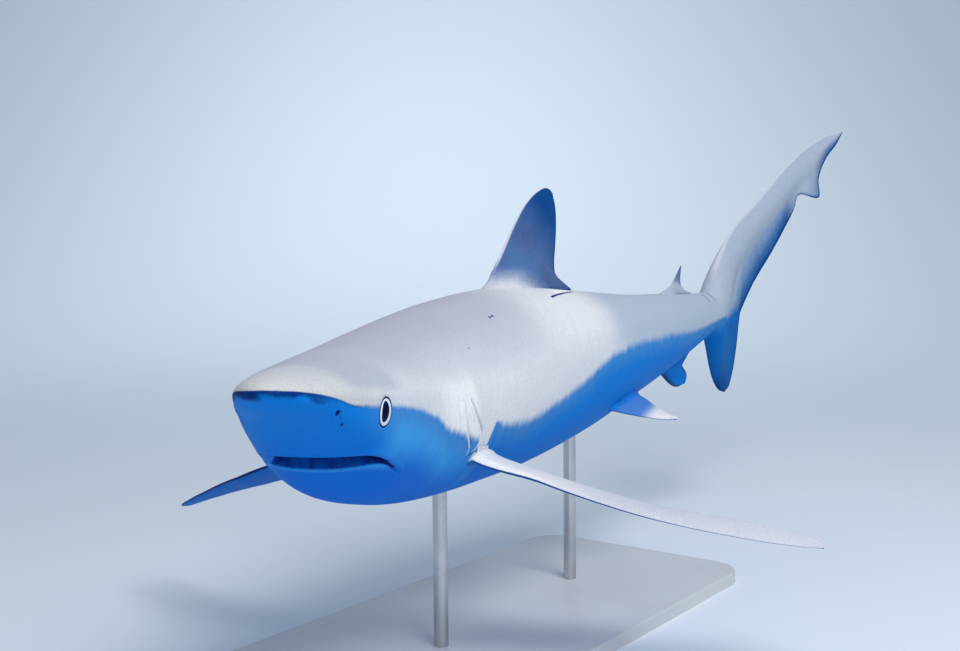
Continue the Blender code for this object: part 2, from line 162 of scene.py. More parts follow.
@dataclass
class Spine:
    """The shark's bent axis. Its plan turns and its height rises by angles set along it."""

    axis_height: float = 0.43
    over_plate: float = 0.370  # the share of the length above the plate's centre
    turn: Points = (
        (0.00, -28.5), (0.10, -28.5), (0.25, -13.5), (0.42, 0.0),
        (0.60, -2.5), (0.74, -3.0), (0.95, 27.0), (1.00, 27.0),
    )
    rise: Points = ((0.00, -8.5), (0.10, -8.5), (0.25, 0.0), (0.55, 0.0), (0.75, 7.5), (1.00, 7.5))
    steps: int = 500
    soften: int = 18  # steps to each side that an angle is averaged over
    table: tuple[Array, Array, Array] = field(init=False)  # shares, points and turns of the steps

    def __post_init__(self) -> None:
        """Walks the spine in even steps, and sets its place over the stand."""
        share = np.linspace(0, 1, self.steps + 1)
        window = np.ones(2 * self.soften + 1) / (2 * self.soften + 1)
        turn, rise = (
            np.convolve(np.pad(np.interp(share, *zip(*bend)), self.soften, mode="edge"), window, "valid")
            for bend in (self.turn, self.rise)
        )
        turn, rise = np.radians(turn), np.radians(rise)
        walk = np.stack([np.sin(turn), np.cos(turn), np.tan(rise)], axis=1) * LENGTH / self.steps
        centre = np.concatenate([[[0, 0, 0]], np.cumsum((walk[1:] + walk[:-1]) / 2, axis=0)])
        centre -= centre[int(round(self.over_plate * self.steps))]
        centre[:, 2] += self.axis_height
        self.table = (share, centre, turn)

    def at(self, along: Array) -> tuple[Array, Array]:
        """The spine's point and its turn in radians, at shares of the length."""
        share, centre, turn = self.table
        point = np.stack([np.interp(along, share, centre[:, k]) for k in range(3)], axis=-1)
        return point, np.interp(along, share, turn)

    def place(self, straight: Array) -> Array:
        """Points (along, left, up), in shares of the length, laid on the bent spine in metres."""
        along, left, up = np.moveaxis(np.asarray(straight, float), -1, 0)
        point, turn = self.at(along)
        side = np.stack([np.cos(turn), -np.sin(turn), np.zeros_like(turn)], axis=-1)
        return point + LENGTH * (left[..., None] * side + up[..., None] * np.array([0.0, 0.0, 1.0]))

    def unplace(self, points: Array, along: Array) -> Array:
        """Points in metres as (along, left, up), by stepping along the spine until each is abreast.

        Args:
            points: Points in metres.
            along: A first guess of each one's share of the length.

        Returns:
            The straight points, in shares of the length.
        """
        for _ in range(12):
            centre, turn = self.at(along)
            gap = points - centre
            along = along + (gap[..., 0] * np.sin(turn) + gap[..., 1] * np.cos(turn)) / LENGTH
        centre, turn = self.at(along)
        gap = points - centre
        left = (gap[..., 0] * np.cos(turn) - gap[..., 1] * np.sin(turn)) / LENGTH
        return np.stack([along, left, gap[..., 2] / LENGTH], axis=-1)


@dataclass
class Body:
    """The body without its fins: rings whose upper and lower halves are superellipses."""

    # along, half width, height above the axis, depth below it, and how square each half is
    sections: Points = (
        (0.000, 0.0000, 0.0000, 0.0000, 2.00, 2.00),
        (0.012, 0.0145, 0.0075, 0.0070, 1.85, 2.20),
        (0.048, 0.0285, 0.0145, 0.0190, 1.80, 2.50),
        (0.080, 0.0375, 0.0190, 0.0360, 1.85, 2.50),
        (0.120, 0.0455, 0.0245, 0.0560, 1.95, 2.35),
        (0.165, 0.0505, 0.0315, 0.0650, 2.00, 2.20),
        (0.215, 0.0540, 0.0400, 0.0715, 2.00, 2.10),
        (0.300, 0.0560, 0.0515, 0.0775, 2.00, 2.05),
        (0.380, 0.0545, 0.0560, 0.0765, 1.95, 2.05),
        (0.470, 0.0465, 0.0490, 0.0645, 1.95, 2.05),
        (0.560, 0.0345, 0.0410, 0.0465, 1.95, 2.00),
        (0.640, 0.0245, 0.0350, 0.0330, 1.95, 1.95),
        (0.700, 0.0180, 0.0275, 0.0230, 2.00, 2.00),
        (0.740, 0.0145, 0.0230, 0.0170, 2.00, 2.00),
        (0.780, 0.0120, 0.0180, 0.0160, 2.00, 2.00),
    )

    def sizes(self, along: Array) -> Array:
        """Half width, height, depth and both squarenesses, smooth over the square root of along."""
        table = np.array(self.sections)
        values = hermite(np.sqrt(np.clip(along, 0, None)), np.sqrt(table[:, 0]), table[:, 1:])
        return np.moveaxis(values, -1, 0)

    def ring(self, along: Array, angle: Array) -> Array:
        """Straight points on the skin: each half's left and up are powers of the cosine and sine."""
        wide, above, below, square_up, square_down = self.sizes(along)
        cosine, sine = np.cos(angle), np.sin(angle)
        power = 2 / np.where(sine > 0, square_up, square_down)
        left = wide * np.sign(cosine) * np.abs(cosine) ** power
        up = np.where(sine > 0, above, below) * np.sign(sine) * np.abs(sine) ** power
        return np.stack([along, left, up], axis=-1)

    @staticmethod
    def across(half: Array, share: Array, power: Array) -> Array:
        """A superellipse's half axis, shortened for a place at a share of its other one."""
        share = np.clip(np.abs(share), 0, 0.995)
        return half * (1 - share**power) ** (1 / power)

    def width_at(self, along: Array, up: Array) -> Array:
        """Half the body's width at a height."""
        wide, above, below, square_up, square_down = self.sizes(along)
        power = np.where(up > 0, square_up, square_down)
        return self.across(wide, up / np.where(up > 0, above, below), power)

    def height_at(self, along: Array, left: Array, side: int) -> Array:
        """How far the back (side 1) or the belly (side -1) is from the axis at a place across."""
        wide, above, below, square_up, square_down = self.sizes(along)
        if side > 0:
            return self.across(above, left / wide, square_up)
        return self.across(below, left / wide, square_down)

    def on_side(self, along: Array, up: Array, side: int = 1) -> Array:
        """Straight points on the left (side 1) or right (side -1) flank."""
        along, up = np.asarray(along, float), np.asarray(up, float)
        return np.stack([along, side * self.width_at(along, up), up], axis=-1)

    def beside_line(self, straight: Array, points: Points, side: int) -> tuple[Array, Array, Array]:
        """What lies near a smooth line on a flank.

        Args:
            straight: Straight points.
            points: The line's own, each along and up.
            side: 1 for the left flank, -1 for the right.

        Returns:
            Which of the points are near it, and their distances in metres and shares of the line.
        """
        along, up = outline(points, np.linspace(0, 1, 30)).T
        near = between(straight[..., 0], along.min() - 0.02, along.max() + 0.02)
        return near, *to_curve(straight[near] * LENGTH, self.on_side(along, up, side) * LENGTH)


# ---- meshing


@dataclass
class Patch:
    """A surface on its way to a mesh: straight points, its faces, and what the paint reads."""

    points: Array
    faces: list[Array]
    paint: Array  # slate, pale rim (a painted highlight), and -1 to 1 from pale to blue over the body's own line, the blue partly painted shade
    marks: Array  # millimetres inside an opening and a dark fold, both painted shade, and a pale ridge, a painted highlight
    placed: Array | None = None  # in metres, where the surface isn't laid on the spine
    flat: Array | None = None  # where the points were before folds moved them, if any did

    @staticmethod
    def tube(rings: Array) -> "Patch":
        """A closed skin over rings of equal length, each end drawn to a point."""
        rows, sides = rings.shape[:2]
        grid = np.arange(rows * sides).reshape(rows, sides)
        faces = quads(grid) + [fan(grid[0], grid.size), fan(grid[-1][::-1], grid.size + 1)]
        points = np.concatenate([rings.reshape(-1, 3), rings[[0, -1]].mean(axis=1)])
        return Patch(points, faces, np.zeros(points.shape), np.full(points.shape, NOWHERE))


def quads(grid: Array) -> list[Array]:
    """The faces between a grid's rows, closed round its columns."""
    beside = np.roll(grid, -1, axis=1)
    return [np.stack([grid[:-1], grid[1:], beside[1:], beside[:-1]], axis=-1).reshape(-1, 4)]


def fan(ring: Array, top: int) -> Array:
    """Triangles from a ring of indices to one point's index."""
    return np.stack([ring, np.roll(ring, -1), np.full(len(ring), top)], axis=1)


def stitch(fine: Array, coarse: Array) -> Array:
    """Triangles between a ring of indices and the next ring, which has half as many."""
    start, middle = fine[::2], fine[1::2]
    end = np.roll(start, -1)
    after = np.roll(coarse, -1)
    corners = ((start, coarse, middle), (middle, coarse, after), (middle, after, end))
    return np.concatenate([np.stack(three, axis=1) for three in corners])


def enclosed(points: Array, faces: list[Array]) -> float:
    """Six times the volume that faces enclose: the sum of the corners' triple products."""
    total = 0.0
    for group in faces:
        corners = points[group] - points[0]
        for k in range(1, group.shape[1] - 1):
            total += float(np.sum(corners[:, 0] * np.cross(corners[:, k], corners[:, k + 1])))
    return total


def turned_out(points: Array, faces: list[Array]) -> list[Array]:
    """The faces of a closed surface, all turned over if they point in."""
    return faces if enclosed(points, faces) > 0 else [group[:, ::-1] for group in faces]


def linked(name: str, data: bpy.types.ID) -> bpy.types.Object:
    """A new object at the origin, in the scene."""
    made = bpy.data.objects.new(name, data)
    bpy.context.scene.collection.objects.link(made)
    return made


def make_object(name: str, points: Array, faces: list[Array]) -> bpy.types.Object:
    """A smooth closed object at the origin, its faces turned to point out.

    Args:
        name: The piece's name.
        points: In metres.
        faces: Arrays of triangles or quads, as indices.

    Returns:
        The linked object.
    """
    faces = turned_out(points, faces)
    mesh = bpy.data.meshes.new(name)
    sizes = np.concatenate([np.full(len(group), group.shape[1]) for group in faces])
    corners = np.concatenate([group.ravel() for group in faces])
    mesh.vertices.add(len(points))
    mesh.vertices.foreach_set("co", np.ascontiguousarray(points, dtype=np.float32).ravel())
    mesh.loops.add(len(corners))
    mesh.loops.foreach_set("vertex_index", corners.astype(np.int32))
    mesh.polygons.add(len(sizes))
    mesh.polygons.foreach_set("loop_start", totals(sizes)[:-1].astype(np.int32))
    mesh.update(calc_edges=True)
    mesh.validate()
    mesh.shade_smooth()
    return linked(name, mesh)


def add_attribute(piece: bpy.types.Object, name: str, values: Array) -> None:
    """Stores a number or a vector on each of a piece's points."""
    kind, key = ("FLOAT_VECTOR", "vector") if values.ndim > 1 else ("FLOAT", "value")
    layer = piece.data.attributes.new(name, kind, "POINT")
    layer.data.foreach_set(key, np.ascontiguousarray(values, dtype=np.float32).ravel())


# ---- folds in the skin


def unmarked(straight: Array) -> tuple[Array, Array]:
    """No lift and no marks, for every one of the points."""
    return np.zeros(straight.shape[:-1]), np.full(straight.shape, NOWHERE)


def mark(marks: Array, near: Array, kind: int, inside: Array) -> None:
    """Adds a feature's own mark to the points near it, where it is stronger than what is there."""
    marks[near, kind] = np.maximum(marks[near, kind], inside)


@dataclass(frozen=True)
class Lip:
    """A lip's line in plan: half a rounded square, by powers of the sine and cosine."""

    front: float
    corner: Pair
    roundness: Pair

    def line(self, body: Body) -> Array:
        """Straight points on the body's underside, from the right corner to the left one."""
        angle = np.linspace(-math.pi / 2, math.pi / 2, 121)
        sine, cosine = np.sin(angle), np.cos(angle)
        along = self.front + (self.corner[0] - self.front) * (1 - np.abs(cosine) ** (2 / self.roundness[0]))
        left = self.corner[1] * np.sign(sine) * np.abs(sine) ** (2 / self.roundness[1])
        return np.stack([along, left, -body.height_at(along, left, -1)], axis=1)

    def behind(self, straight: Array) -> Array:
        """1 behind the line and between its corners, else -1."""
        aside = np.abs(straight[..., 1])
        across = np.clip(aside / self.corner[1], 0, 1) ** self.roundness[1]
        back = 1 - (1 - across) ** (1 / self.roundness[0])
        edge = self.front + (self.corner[0] - self.front) * back
        return np.where((straight[..., 0] > edge) & (aside < self.corner[1]), 1.0, -1.0)


@dataclass
class Mouth:
    """The underslung mouth: two lips with a hollow between them, which closes short of its corners."""

    upper: Lip = Lip(0.0703, (0.1236, 0.0358), (2.4, 2.6))
    lower: Lip = Lip(0.0822, (0.1215, 0.0350), (2.6, 2.8))
    stretch: Pair = (0.055, 0.150)  # the part of the body that it is in
    depth: float = 17 * MM
    closing_left: Pair = (0.1060, 0.1145)  # where along the body the lips close on the left
    closing_right: Pair = (0.0145, 0.0170)  # how far right of the middle they close there
    closing_slant: float = 0.0075  # how much farther right the lower lip is open
    furrows: tuple[Points, ...] = (
        ((0.1090, 0.0344), (0.1135, 0.0349), (0.1190, 0.0353), (0.1240, 0.0352)),
        ((0.1010, 0.0337), (0.1040, 0.0348), (0.1068, 0.0362), (0.1116, 0.0382)),
    )
    furrow_reach: Pair = (1.0, 0.6)

    def beside(self, straight: Array) -> Array:
        """Which of the points are low enough and in the right stretch to have to do with it."""
        return (straight[..., 2] < 0) & between(straight[..., 0], *self.stretch)

    def past_lips(self, straight: Array, body: Body) -> Array:
        """How far each point is behind the upper and the lower lip's line, in metres over the skin."""
        near = self.beside(straight)
        past = np.full((*straight.shape[:-1], 2), -0.03)
        for k, lip in enumerate((self.upper, self.lower)):
            far, _ = to_curve(straight[near] * LENGTH, lip.line(body) * LENGTH)
            past[near, k] = far * lip.behind(straight[near])
        return past

    def closed(self, straight: Array, upper: Array, lower: Array) -> tuple[Array, Array, Array]:
        """How far the lips have closed, 0 to 1, by place along on the left and across on the right.

        Args:
            straight: Straight points.
            upper: How far each is behind the upper lip's line.
            lower: How far it is behind the lower one's.

        Returns:
            How shut the mouth is, how far the opening still goes on, and where the closed line shows.
        """
        along, left = straight[..., 0], straight[..., 1]
        toward_lower = np.clip(upper / np.maximum(upper - lower, 0.5 * MM), 0, 1)
        rightward = -left - self.closing_slant * toward_lower
        shut = np.where(left > 0, ramp(along, *self.closing_left), ramp(rightward, *self.closing_right))
        still_open = np.where(left > 0, self.closing_left[1] - along, self.closing_right[1] - rightward)
        shown = ramp(shut, 0.3, 1.0) * np.where(left > 0, 1.0, ramp(-left, 0.0225, 0.0280))
        return shut, still_open * LENGTH, shown

    def lift(self, straight: Array, body: Body) -> tuple[Array, Array]:
        """How far the skin stands out in metres, and its marks, at straight points."""
        lift, marks = unmarked(straight)
        along, left = straight[..., 0], straight[..., 1]
        upper, lower = np.moveaxis(self.past_lips(straight, body), -1, 0)
        shut, still_open, shown = self.closed(straight, upper, lower)
        inside = ramp(upper, -0.2 * MM, 2.2 * MM) * ramp(-lower, -0.4 * MM, 6.0 * MM) * (1 - shut)
        rolls = 1.3 * MM * bell(upper + 4.5 * MM, 4 * MM) * (upper < 0)
        rolls += 1.8 * MM * bell(lower - 3.0 * MM, 3.2 * MM) * (lower > 0)
        rolls *= 1 - 0.6 * shut * (left <= 0)
        crease = 1.0 * MM * bell(upper, 1.5 * MM) * (1 - ramp(along, 0.108, 0.122))
        lift += rolls * (1 - inside) - self.depth * inside - crease
        # the gape's opening mark and the fold along the closed lips paint shade into the mouth's hollows
        marks[..., OPENING] = np.minimum(np.minimum(upper + 0.3 * MM, 0.2 * MM - lower), still_open) / MM
        marks[..., FOLD] = np.where(along < 0.118, shown - np.abs(upper) / MM, NOWHERE)
        near = self.beside(straight)
        for points, reach in zip(self.furrows, self.furrow_reach):
            line = outline(points, np.linspace(0, 1, 24))
            height = -body.height_at(line[:, 0], line[:, 1], -1)
            for side in (1, -1):
                curve = np.column_stack([line[:, 0], side * line[:, 1], height]) * LENGTH
                far, share = to_curve(straight[near] * LENGTH, curve)
                fade = 1 - ramp(share, 0.3, 1.0)
                lift[near] -= 1.4 * MM * reach * bell(far, 1.9 * MM) * fade
                # a dark mark in each furrow: painted shade
                mark(marks, near, FOLD, 1.1 * reach * fade - far / MM)
        return lift, np.maximum(marks, NOWHERE)


@dataclass
class Nostril:
    """A pit on each side of the snout's underside, with a small flap and a second, smaller hole."""

    centres: Points = ((0.0422, -0.0077), (0.0505, -0.0134))  # along, up
    pits: Points = ((3.1 * MM, 5.0 * MM), (1.3 * MM, 2.0 * MM))  # radius, depth
    flap: Points = ((0.0393, -0.0072), (0.0430, -0.0112), (0.0479, -0.0145))
    stretch: Pair = (0.030, 0.062)  # the part of the body that they are on

    def lift(self, straight: Array, body: Body) -> tuple[Array, Array]:
        """How far the skin stands out in metres, and its marks, at straight points."""
        lift, marks = unmarked(straight)
        near = between(straight[..., 0], *self.stretch)
        spots = straight[near] * LENGTH
        for side in (1, -1):
            centres = body.on_side(*np.array(self.centres).T, side) * LENGTH
            flap = body.on_side(*np.array(self.flap).T, side) * LENGTH
            for centre, (radius, depth) in zip(centres, self.pits):
                far = np.linalg.norm(spots - centre, axis=1)
                lift[near] += 0.7 * MM * bell(far - 1.9 * radius, 0.8 * radius)
                lift[near] -= depth * (1 - ramp(far, 0.55 * radius, 1.25 * radius))
                # the pit's mark paints it dark: painted shade in the hollow
                mark(marks, near, OPENING, (radius - far) / MM + 0.6)
            groove, share = to_curve(spots, centres)
            ends = ramp(share, 0, 0.15) * (1 - ramp(share, 0.85, 1))
            lift[near] -= 1.0 * MM * bell(groove, 1.5 * MM) * ends
            ridge, _ = to_curve(spots, flap)
            lift[near] += 0.7 * MM * bell(ridge, 2.0 * MM)
        return lift, marks


@dataclass
class Gills:
    """Five slits on each side. The skin ahead of a slit swells to a lip that overlaps its groove."""

    # from the top of each slit down: (along, up)
    slits: tuple[Points, ...] = (
        ((0.1640, -0.0040), (0.1668, -0.0160), (0.1700, -0.0280), (0.1735, -0.0390)),
        ((0.1775, -0.0040), (0.1808, -0.0160), (0.1845, -0.0290), (0.1880, -0.0410)),
        ((0.1890, -0.0045), (0.1928, -0.0160), (0.1972, -0.0290), (0.2020, -0.0430)),
        (
            (0.1985, -0.0020), (0.2040, -0.0109), (0.2105, -0.0209), (0.2190, -0.0293), (0.2262, -0.0390),
            (0.2236, -0.0430),
        ),
        (
            (0.2110, -0.0036), (0.2190, -0.0116), (0.2302, -0.0212), (0.2388, -0.0300), (0.2385, -0.0360),
            (0.2300, -0.0420),
        ),
    )
    lips: tuple[float, ...] = (0.6 * MM, 0.7 * MM, 0.9 * MM, 2.0 * MM, 2.6 * MM)
    grooves: tuple[float, ...] = (1.1 * MM, 1.2 * MM, 1.5 * MM, 3.0 * MM, 4.0 * MM)
    highlit_lip: float = 2.0 * MM  # lips at least this high have a painted highlight on their edge
    line_points: int = 60
    stretch: Pair = (0.145, 0.265)  # the part of the body that they are on
    # how the rings lean with the slits: a share of the shift at each place along, and the shift by height
    lean: Points = (
        (0.150, 0.00), (0.164, 0.33), (0.1775, 0.36), (0.189, 0.40), (0.1985, 0.74), (0.2095, 1.00),
        (0.2640, 0.00),
    )
    shift: Points = (
        (-0.0600, 0.0310), (-0.0400, 0.0310), (-0.0310, 0.0280), (-0.0213, 0.0180), (-0.0116, 0.0077),
        (-0.0030, 0.0), (0.0, 0.0),
    )

    def leaned(self, along: Array, up: Array) -> Array:
        """A ring's places along, shifted back by its lean times the shift at each height."""
        shift = hermite(up, *np.array(self.shift).T)
        lean = np.interp(along, *zip(*self.lean))
        return along + lean * shift

    def lift(self, straight: Array, body: Body) -> tuple[Array, Array]:
        """How far the skin stands out in metres, and its marks, at straight points."""
        lift, marks = unmarked(straight)
        near = between(straight[..., 0], *self.stretch)
        spots = straight[near]
        last = self.line_points - 1
        for points, lip, groove in zip(self.slits, self.lips, self.grooves):
            line = outline(points, np.linspace(0, 1, self.line_points))
            way = np.gradient(line, axis=0)
            for side in (1, -1):
                far, share = to_curve(spots * LENGTH, body.on_side(line[:, 0], line[:, 1], side) * LENGTH)
                step = np.clip((share * last).round().astype(int), 0, last)
                off = spots[:, ::2] - line[step]
                signed = far * -np.sign(off[:, 0] * way[step, 1] - off[:, 1] * way[step, 0])
                ends = ramp(share, 0.0, 0.14) * (1 - ramp(share, 0.90, 1.0))
                swell = np.exp(np.minimum(signed, 0) / (9 * MM)) * (signed < 0)
                swell *= 1 - ramp(signed, -1.0 * MM, 0.8 * MM)
                dip = ramp(signed, -0.6 * MM, 1.6 * MM) * (1 - ramp(signed, 2.0 * MM, 8.0 * MM))
                lift[near] += ends * (lip * swell - groove * dip)
                # a dark mark along each groove: painted shade
                mark(marks, near, FOLD, (0.2 + groove / (4 * MM)) * ends - np.abs(signed / MM - 0.1))
                if lip >= self.highlit_lip:
                    # the lip's pale edge: a painted highlight
                    edge = 1.6 * ends * ramp(share, 0.45, 0.6) - np.abs(signed / MM + 2.4)
                    mark(marks, near, RIDGE, edge)
        return lift, marks


@dataclass(frozen=True)
class Crease:
    """A smooth line on a flank, its points along and up, and its depth and half widths in millimetres."""

    points: Points
    depth: float
    width: float
    dark: float = 0.0  # half the width of its dark mark, painted shade in the fold
    flank: int = 0  # 1 for one on the left only


@dataclass
class Creases:
    """Fine folds in the skin, and a short pale streak that no fold makes."""

    lines: tuple[Crease, ...] = (
        Crease(((0.1918, -0.0037), (0.1961, -0.0128), (0.2014, -0.0220), (0.2050, -0.0280)), 0.8, 2.2, 0.3),
        Crease(((0.2040, 0.0010), (0.2075, -0.0070), (0.2130, -0.0150), (0.2190, -0.0225)), 0.8, 2.0, 0.3),
        Crease(((0.2070, -0.0010), (0.2120, -0.0085), (0.2190, -0.0160), (0.2260, -0.0240)), 0.7, 1.8, 0.2),
        Crease(((0.2800, 0.0215), (0.3065, 0.0212), (0.3699, 0.0182), (0.4371, 0.0134), (0.5173, 0.0127),
                (0.5700, 0.0110)), 1.6, 14.0),
        Crease(((0.7128, 0.0262), (0.7142, 0.0240), (0.7165, 0.0195), (0.7190, 0.0153)), 1.2, 2.6, 2.0, 1),
        Crease(((0.7245, 0.0246), (0.7290, 0.0225), (0.7330, 0.0180), (0.7360, 0.0130)), 1.4, 3.0, 1.7),
        Crease(((0.2430, -0.0372), (0.2520, -0.0385), (0.2643, -0.0415)), 1.0, 2.0, 1.1),
        Crease(((0.3030, -0.0710), (0.3045, -0.0710)), 0.3, 2.0, 2.8, 1),
    )
    streak: Points = ((0.2561, -0.0235), (0.2566, -0.0238))  # on the left flank
    streak_half: float = 1.6  # millimetres

    def lift(self, straight: Array, body: Body) -> tuple[Array, Array]:
        """How far the skin stands out in metres, and its marks, at straight points."""
        lift, marks = unmarked(straight)
        for crease in self.lines:
            for side in (crease.flank,) if crease.flank else (1, -1):
                near, far, share = body.beside_line(straight, crease.points, side)
                ends = ramp(share, -0.15, 0.2) * (1 - ramp(share, 0.8, 1.15))
                lift[near] -= crease.depth * MM * bell(far, crease.width * MM) * ends
                if crease.dark:
                    mark(marks, near, FOLD, crease.dark * ends - far / MM)
        near, far, _ = body.beside_line(straight, self.streak, 1)
        mark(marks, near, RIDGE, self.streak_half - far / MM)
        return lift, marks


@dataclass
class TailNotches:
    """The pits ahead of the tail fin, across the stem's top and bottom, and its low side keels."""

    above: float = 0.7325
    below: float = 0.7345
    long: float = 0.0026  # how far along each pit goes from its middle
    keel: Pair = (0.660, 0.770)  # where along the stem it starts and is at its highest

    def lift(self, straight: Array, body: Body) -> tuple[Array, Array]:
        """How far the skin stands out in metres, and its marks, at straight points."""
        lift, marks = unmarked(straight)
        along, left, up = np.moveaxis(straight, -1, 0)
        wide = body.sizes(along)[0]
        crown = ramp(np.abs(up) / np.maximum(np.abs(up) + np.abs(left), 1e-9), 0.55, 0.95)
        top = bell(along - self.above, self.long) * crown * (up > 0)
        bottom = bell(along - self.below, self.long) * crown * (up < 0)
        ridge = bell(up - 0.001, 0.0022) * ramp(along, *self.keel) * (np.abs(left) > wide * 0.7)
        lift += 0.8 * MM * ridge * (1 - ramp(along, 0.775, 0.80)) - 2.6 * MM * top - 1.8 * MM * bottom
        # the pits' dark mark is painted shade
        inside = 2.2 * crown * (up > 0) - np.abs(along - self.above) * LENGTH / MM
        marks[..., FOLD] = np.maximum(inside, NOWHERE)
        return lift, marks


@dataclass
class EyeSocket:
    """The oval opening for each eye, and its lid: a rolled rim that lies on the skin round it."""

    centre: Pair = (0.0850, -0.0073)  # along, up
    half: Pair = (0.00685, 0.00800)  # of the opening
    lean: float = 6.0  # degrees that the top leans back
    # across the lid's roll: share of the opening, and millimetres out from the skin
    roll: Points = (
        (1.46, -0.60), (1.37, -0.03), (1.28, 0.10), (1.18, 0.27), (1.08, 0.42),
        (1.00, 0.36), (0.96, -0.10), (0.945, -1.20), (0.97, -4.50), (1.10, -5.50), (1.35, -3.00),
    )

    def local(self, straight: Array) -> tuple[Array, Array]:
        """Straight points as (across, tall) places in the opening, 1 at its rim."""
        lean = math.radians(self.lean)
        along = straight[..., 0] - self.centre[0]
        up = straight[..., 2] - self.centre[1]
        across = along * math.cos(lean) - up * math.sin(lean)
        tall = up * math.cos(lean) + along * math.sin(lean)
        return across / self.half[0], tall / self.half[1]

    def on_oval(self, body: Body, share: Array, round_way: Array, out: Array) -> Array:
        """Straight points at a share of the oval and a way round it, raised off the left flank.

        Args:
            body: The body whose flank the oval lies on.
            share: Of the oval's size, 1 at its rim.
            round_way: Radians from its rear.
            out: Millimetres along the flank's normal.
        """
        lean = math.radians(self.lean)
        across = self.half[0] * share * np.cos(round_way)
        tall = self.half[1] * share * np.sin(round_way)
        along = self.centre[0] + across * math.cos(lean) + tall * math.sin(lean)
        up = self.centre[1] + tall * math.cos(lean) - across * math.sin(lean)
        step = 1e-4
        slope_along = (body.width_at(along + step, up) - body.width_at(along - step, up)) / (2 * step)
        slope_up = (body.width_at(along, up + step) - body.width_at(along, up - step)) / (2 * step)
        normal = unit(np.stack([-slope_along, np.ones_like(along), -slope_up], axis=-1))
        return body.on_side(along, up) + normal * (out * MM / LENGTH)[..., None]

    @staticmethod
    def brow(share: Array, tall: Array) -> Array:
        """How far the skin swells over the eye, in millimetres: a bell by the share, on the upper half."""
        return 0.9 * bell(share - 1.6, 0.45) * ramp(tall, -0.2, 0.9)

    def lift(self, straight: Array, body: Body) -> tuple[Array, Array]:
        """Sinks the skin inside the opening, and slightly under the lid."""
        across, tall = self.local(straight)
        share = np.hypot(across, tall)
        here = np.abs(straight[..., 1]) > 0.5 * body.sizes(straight[..., 0])[0]
        inside = np.where(here, 1 - ramp(share, 0.90, 1.12), 0)
        under = np.where(here, 1 - ramp(share, 1.10, 1.36), 0)
        brow = np.where(here, self.brow(share, tall), 0)
        return (brow - 0.9 * under - 14 * inside) * MM, unmarked(straight)[1]

    def lid(self, body: Body, side: int) -> tuple[Array, Array]:
        """The lid's rings of straight points: the roll's shares and heights, carried round the oval.

        Args:
            body: The body it lies on.
            side: 1 for the left eye, -1 for the right.

        Returns:
            The rings, and how far inside the opening's dark rim each point is, in millimetres; that rim is
            painted shade under the lid.
        """
        round_way = np.linspace(0, 2 * math.pi, 80, endpoint=False)[:, None]
        share, out = outline(self.roll + self.roll[:1], np.linspace(0, 1, 19)[:-1]).T
        heavier = 1 + 0.9 * ramp(np.sin(round_way), 0.1, 1.0) * (share > 0.9)
        out = np.where(out > 0, out * heavier, out) + self.brow(share, share * np.sin(round_way))
        rings = self.on_oval(body, share + 0 * round_way, round_way, out)
        rim = (1.015 - share) * self.half[0] * LENGTH / MM + 0.0 * round_way
        return rings * np.array([1, side, 1]), rim


# ---- fins


def fin_section(sides: int) -> tuple[Array, Array, Array]:
    """Round a fin's section: share of the chord, a drop's thickness (thickest a third back), and a rim's."""
    angle = np.arange(sides) / sides * 2 * math.pi
    thickest = 0.385  # of sine times squared cosine
    drop = np.sin(angle / 2) * np.cos(angle / 2) ** 2 * np.sign(np.cos(angle / 2)) / thickest
    return (1 - np.cos(angle)) / 2, drop, np.sin(angle)


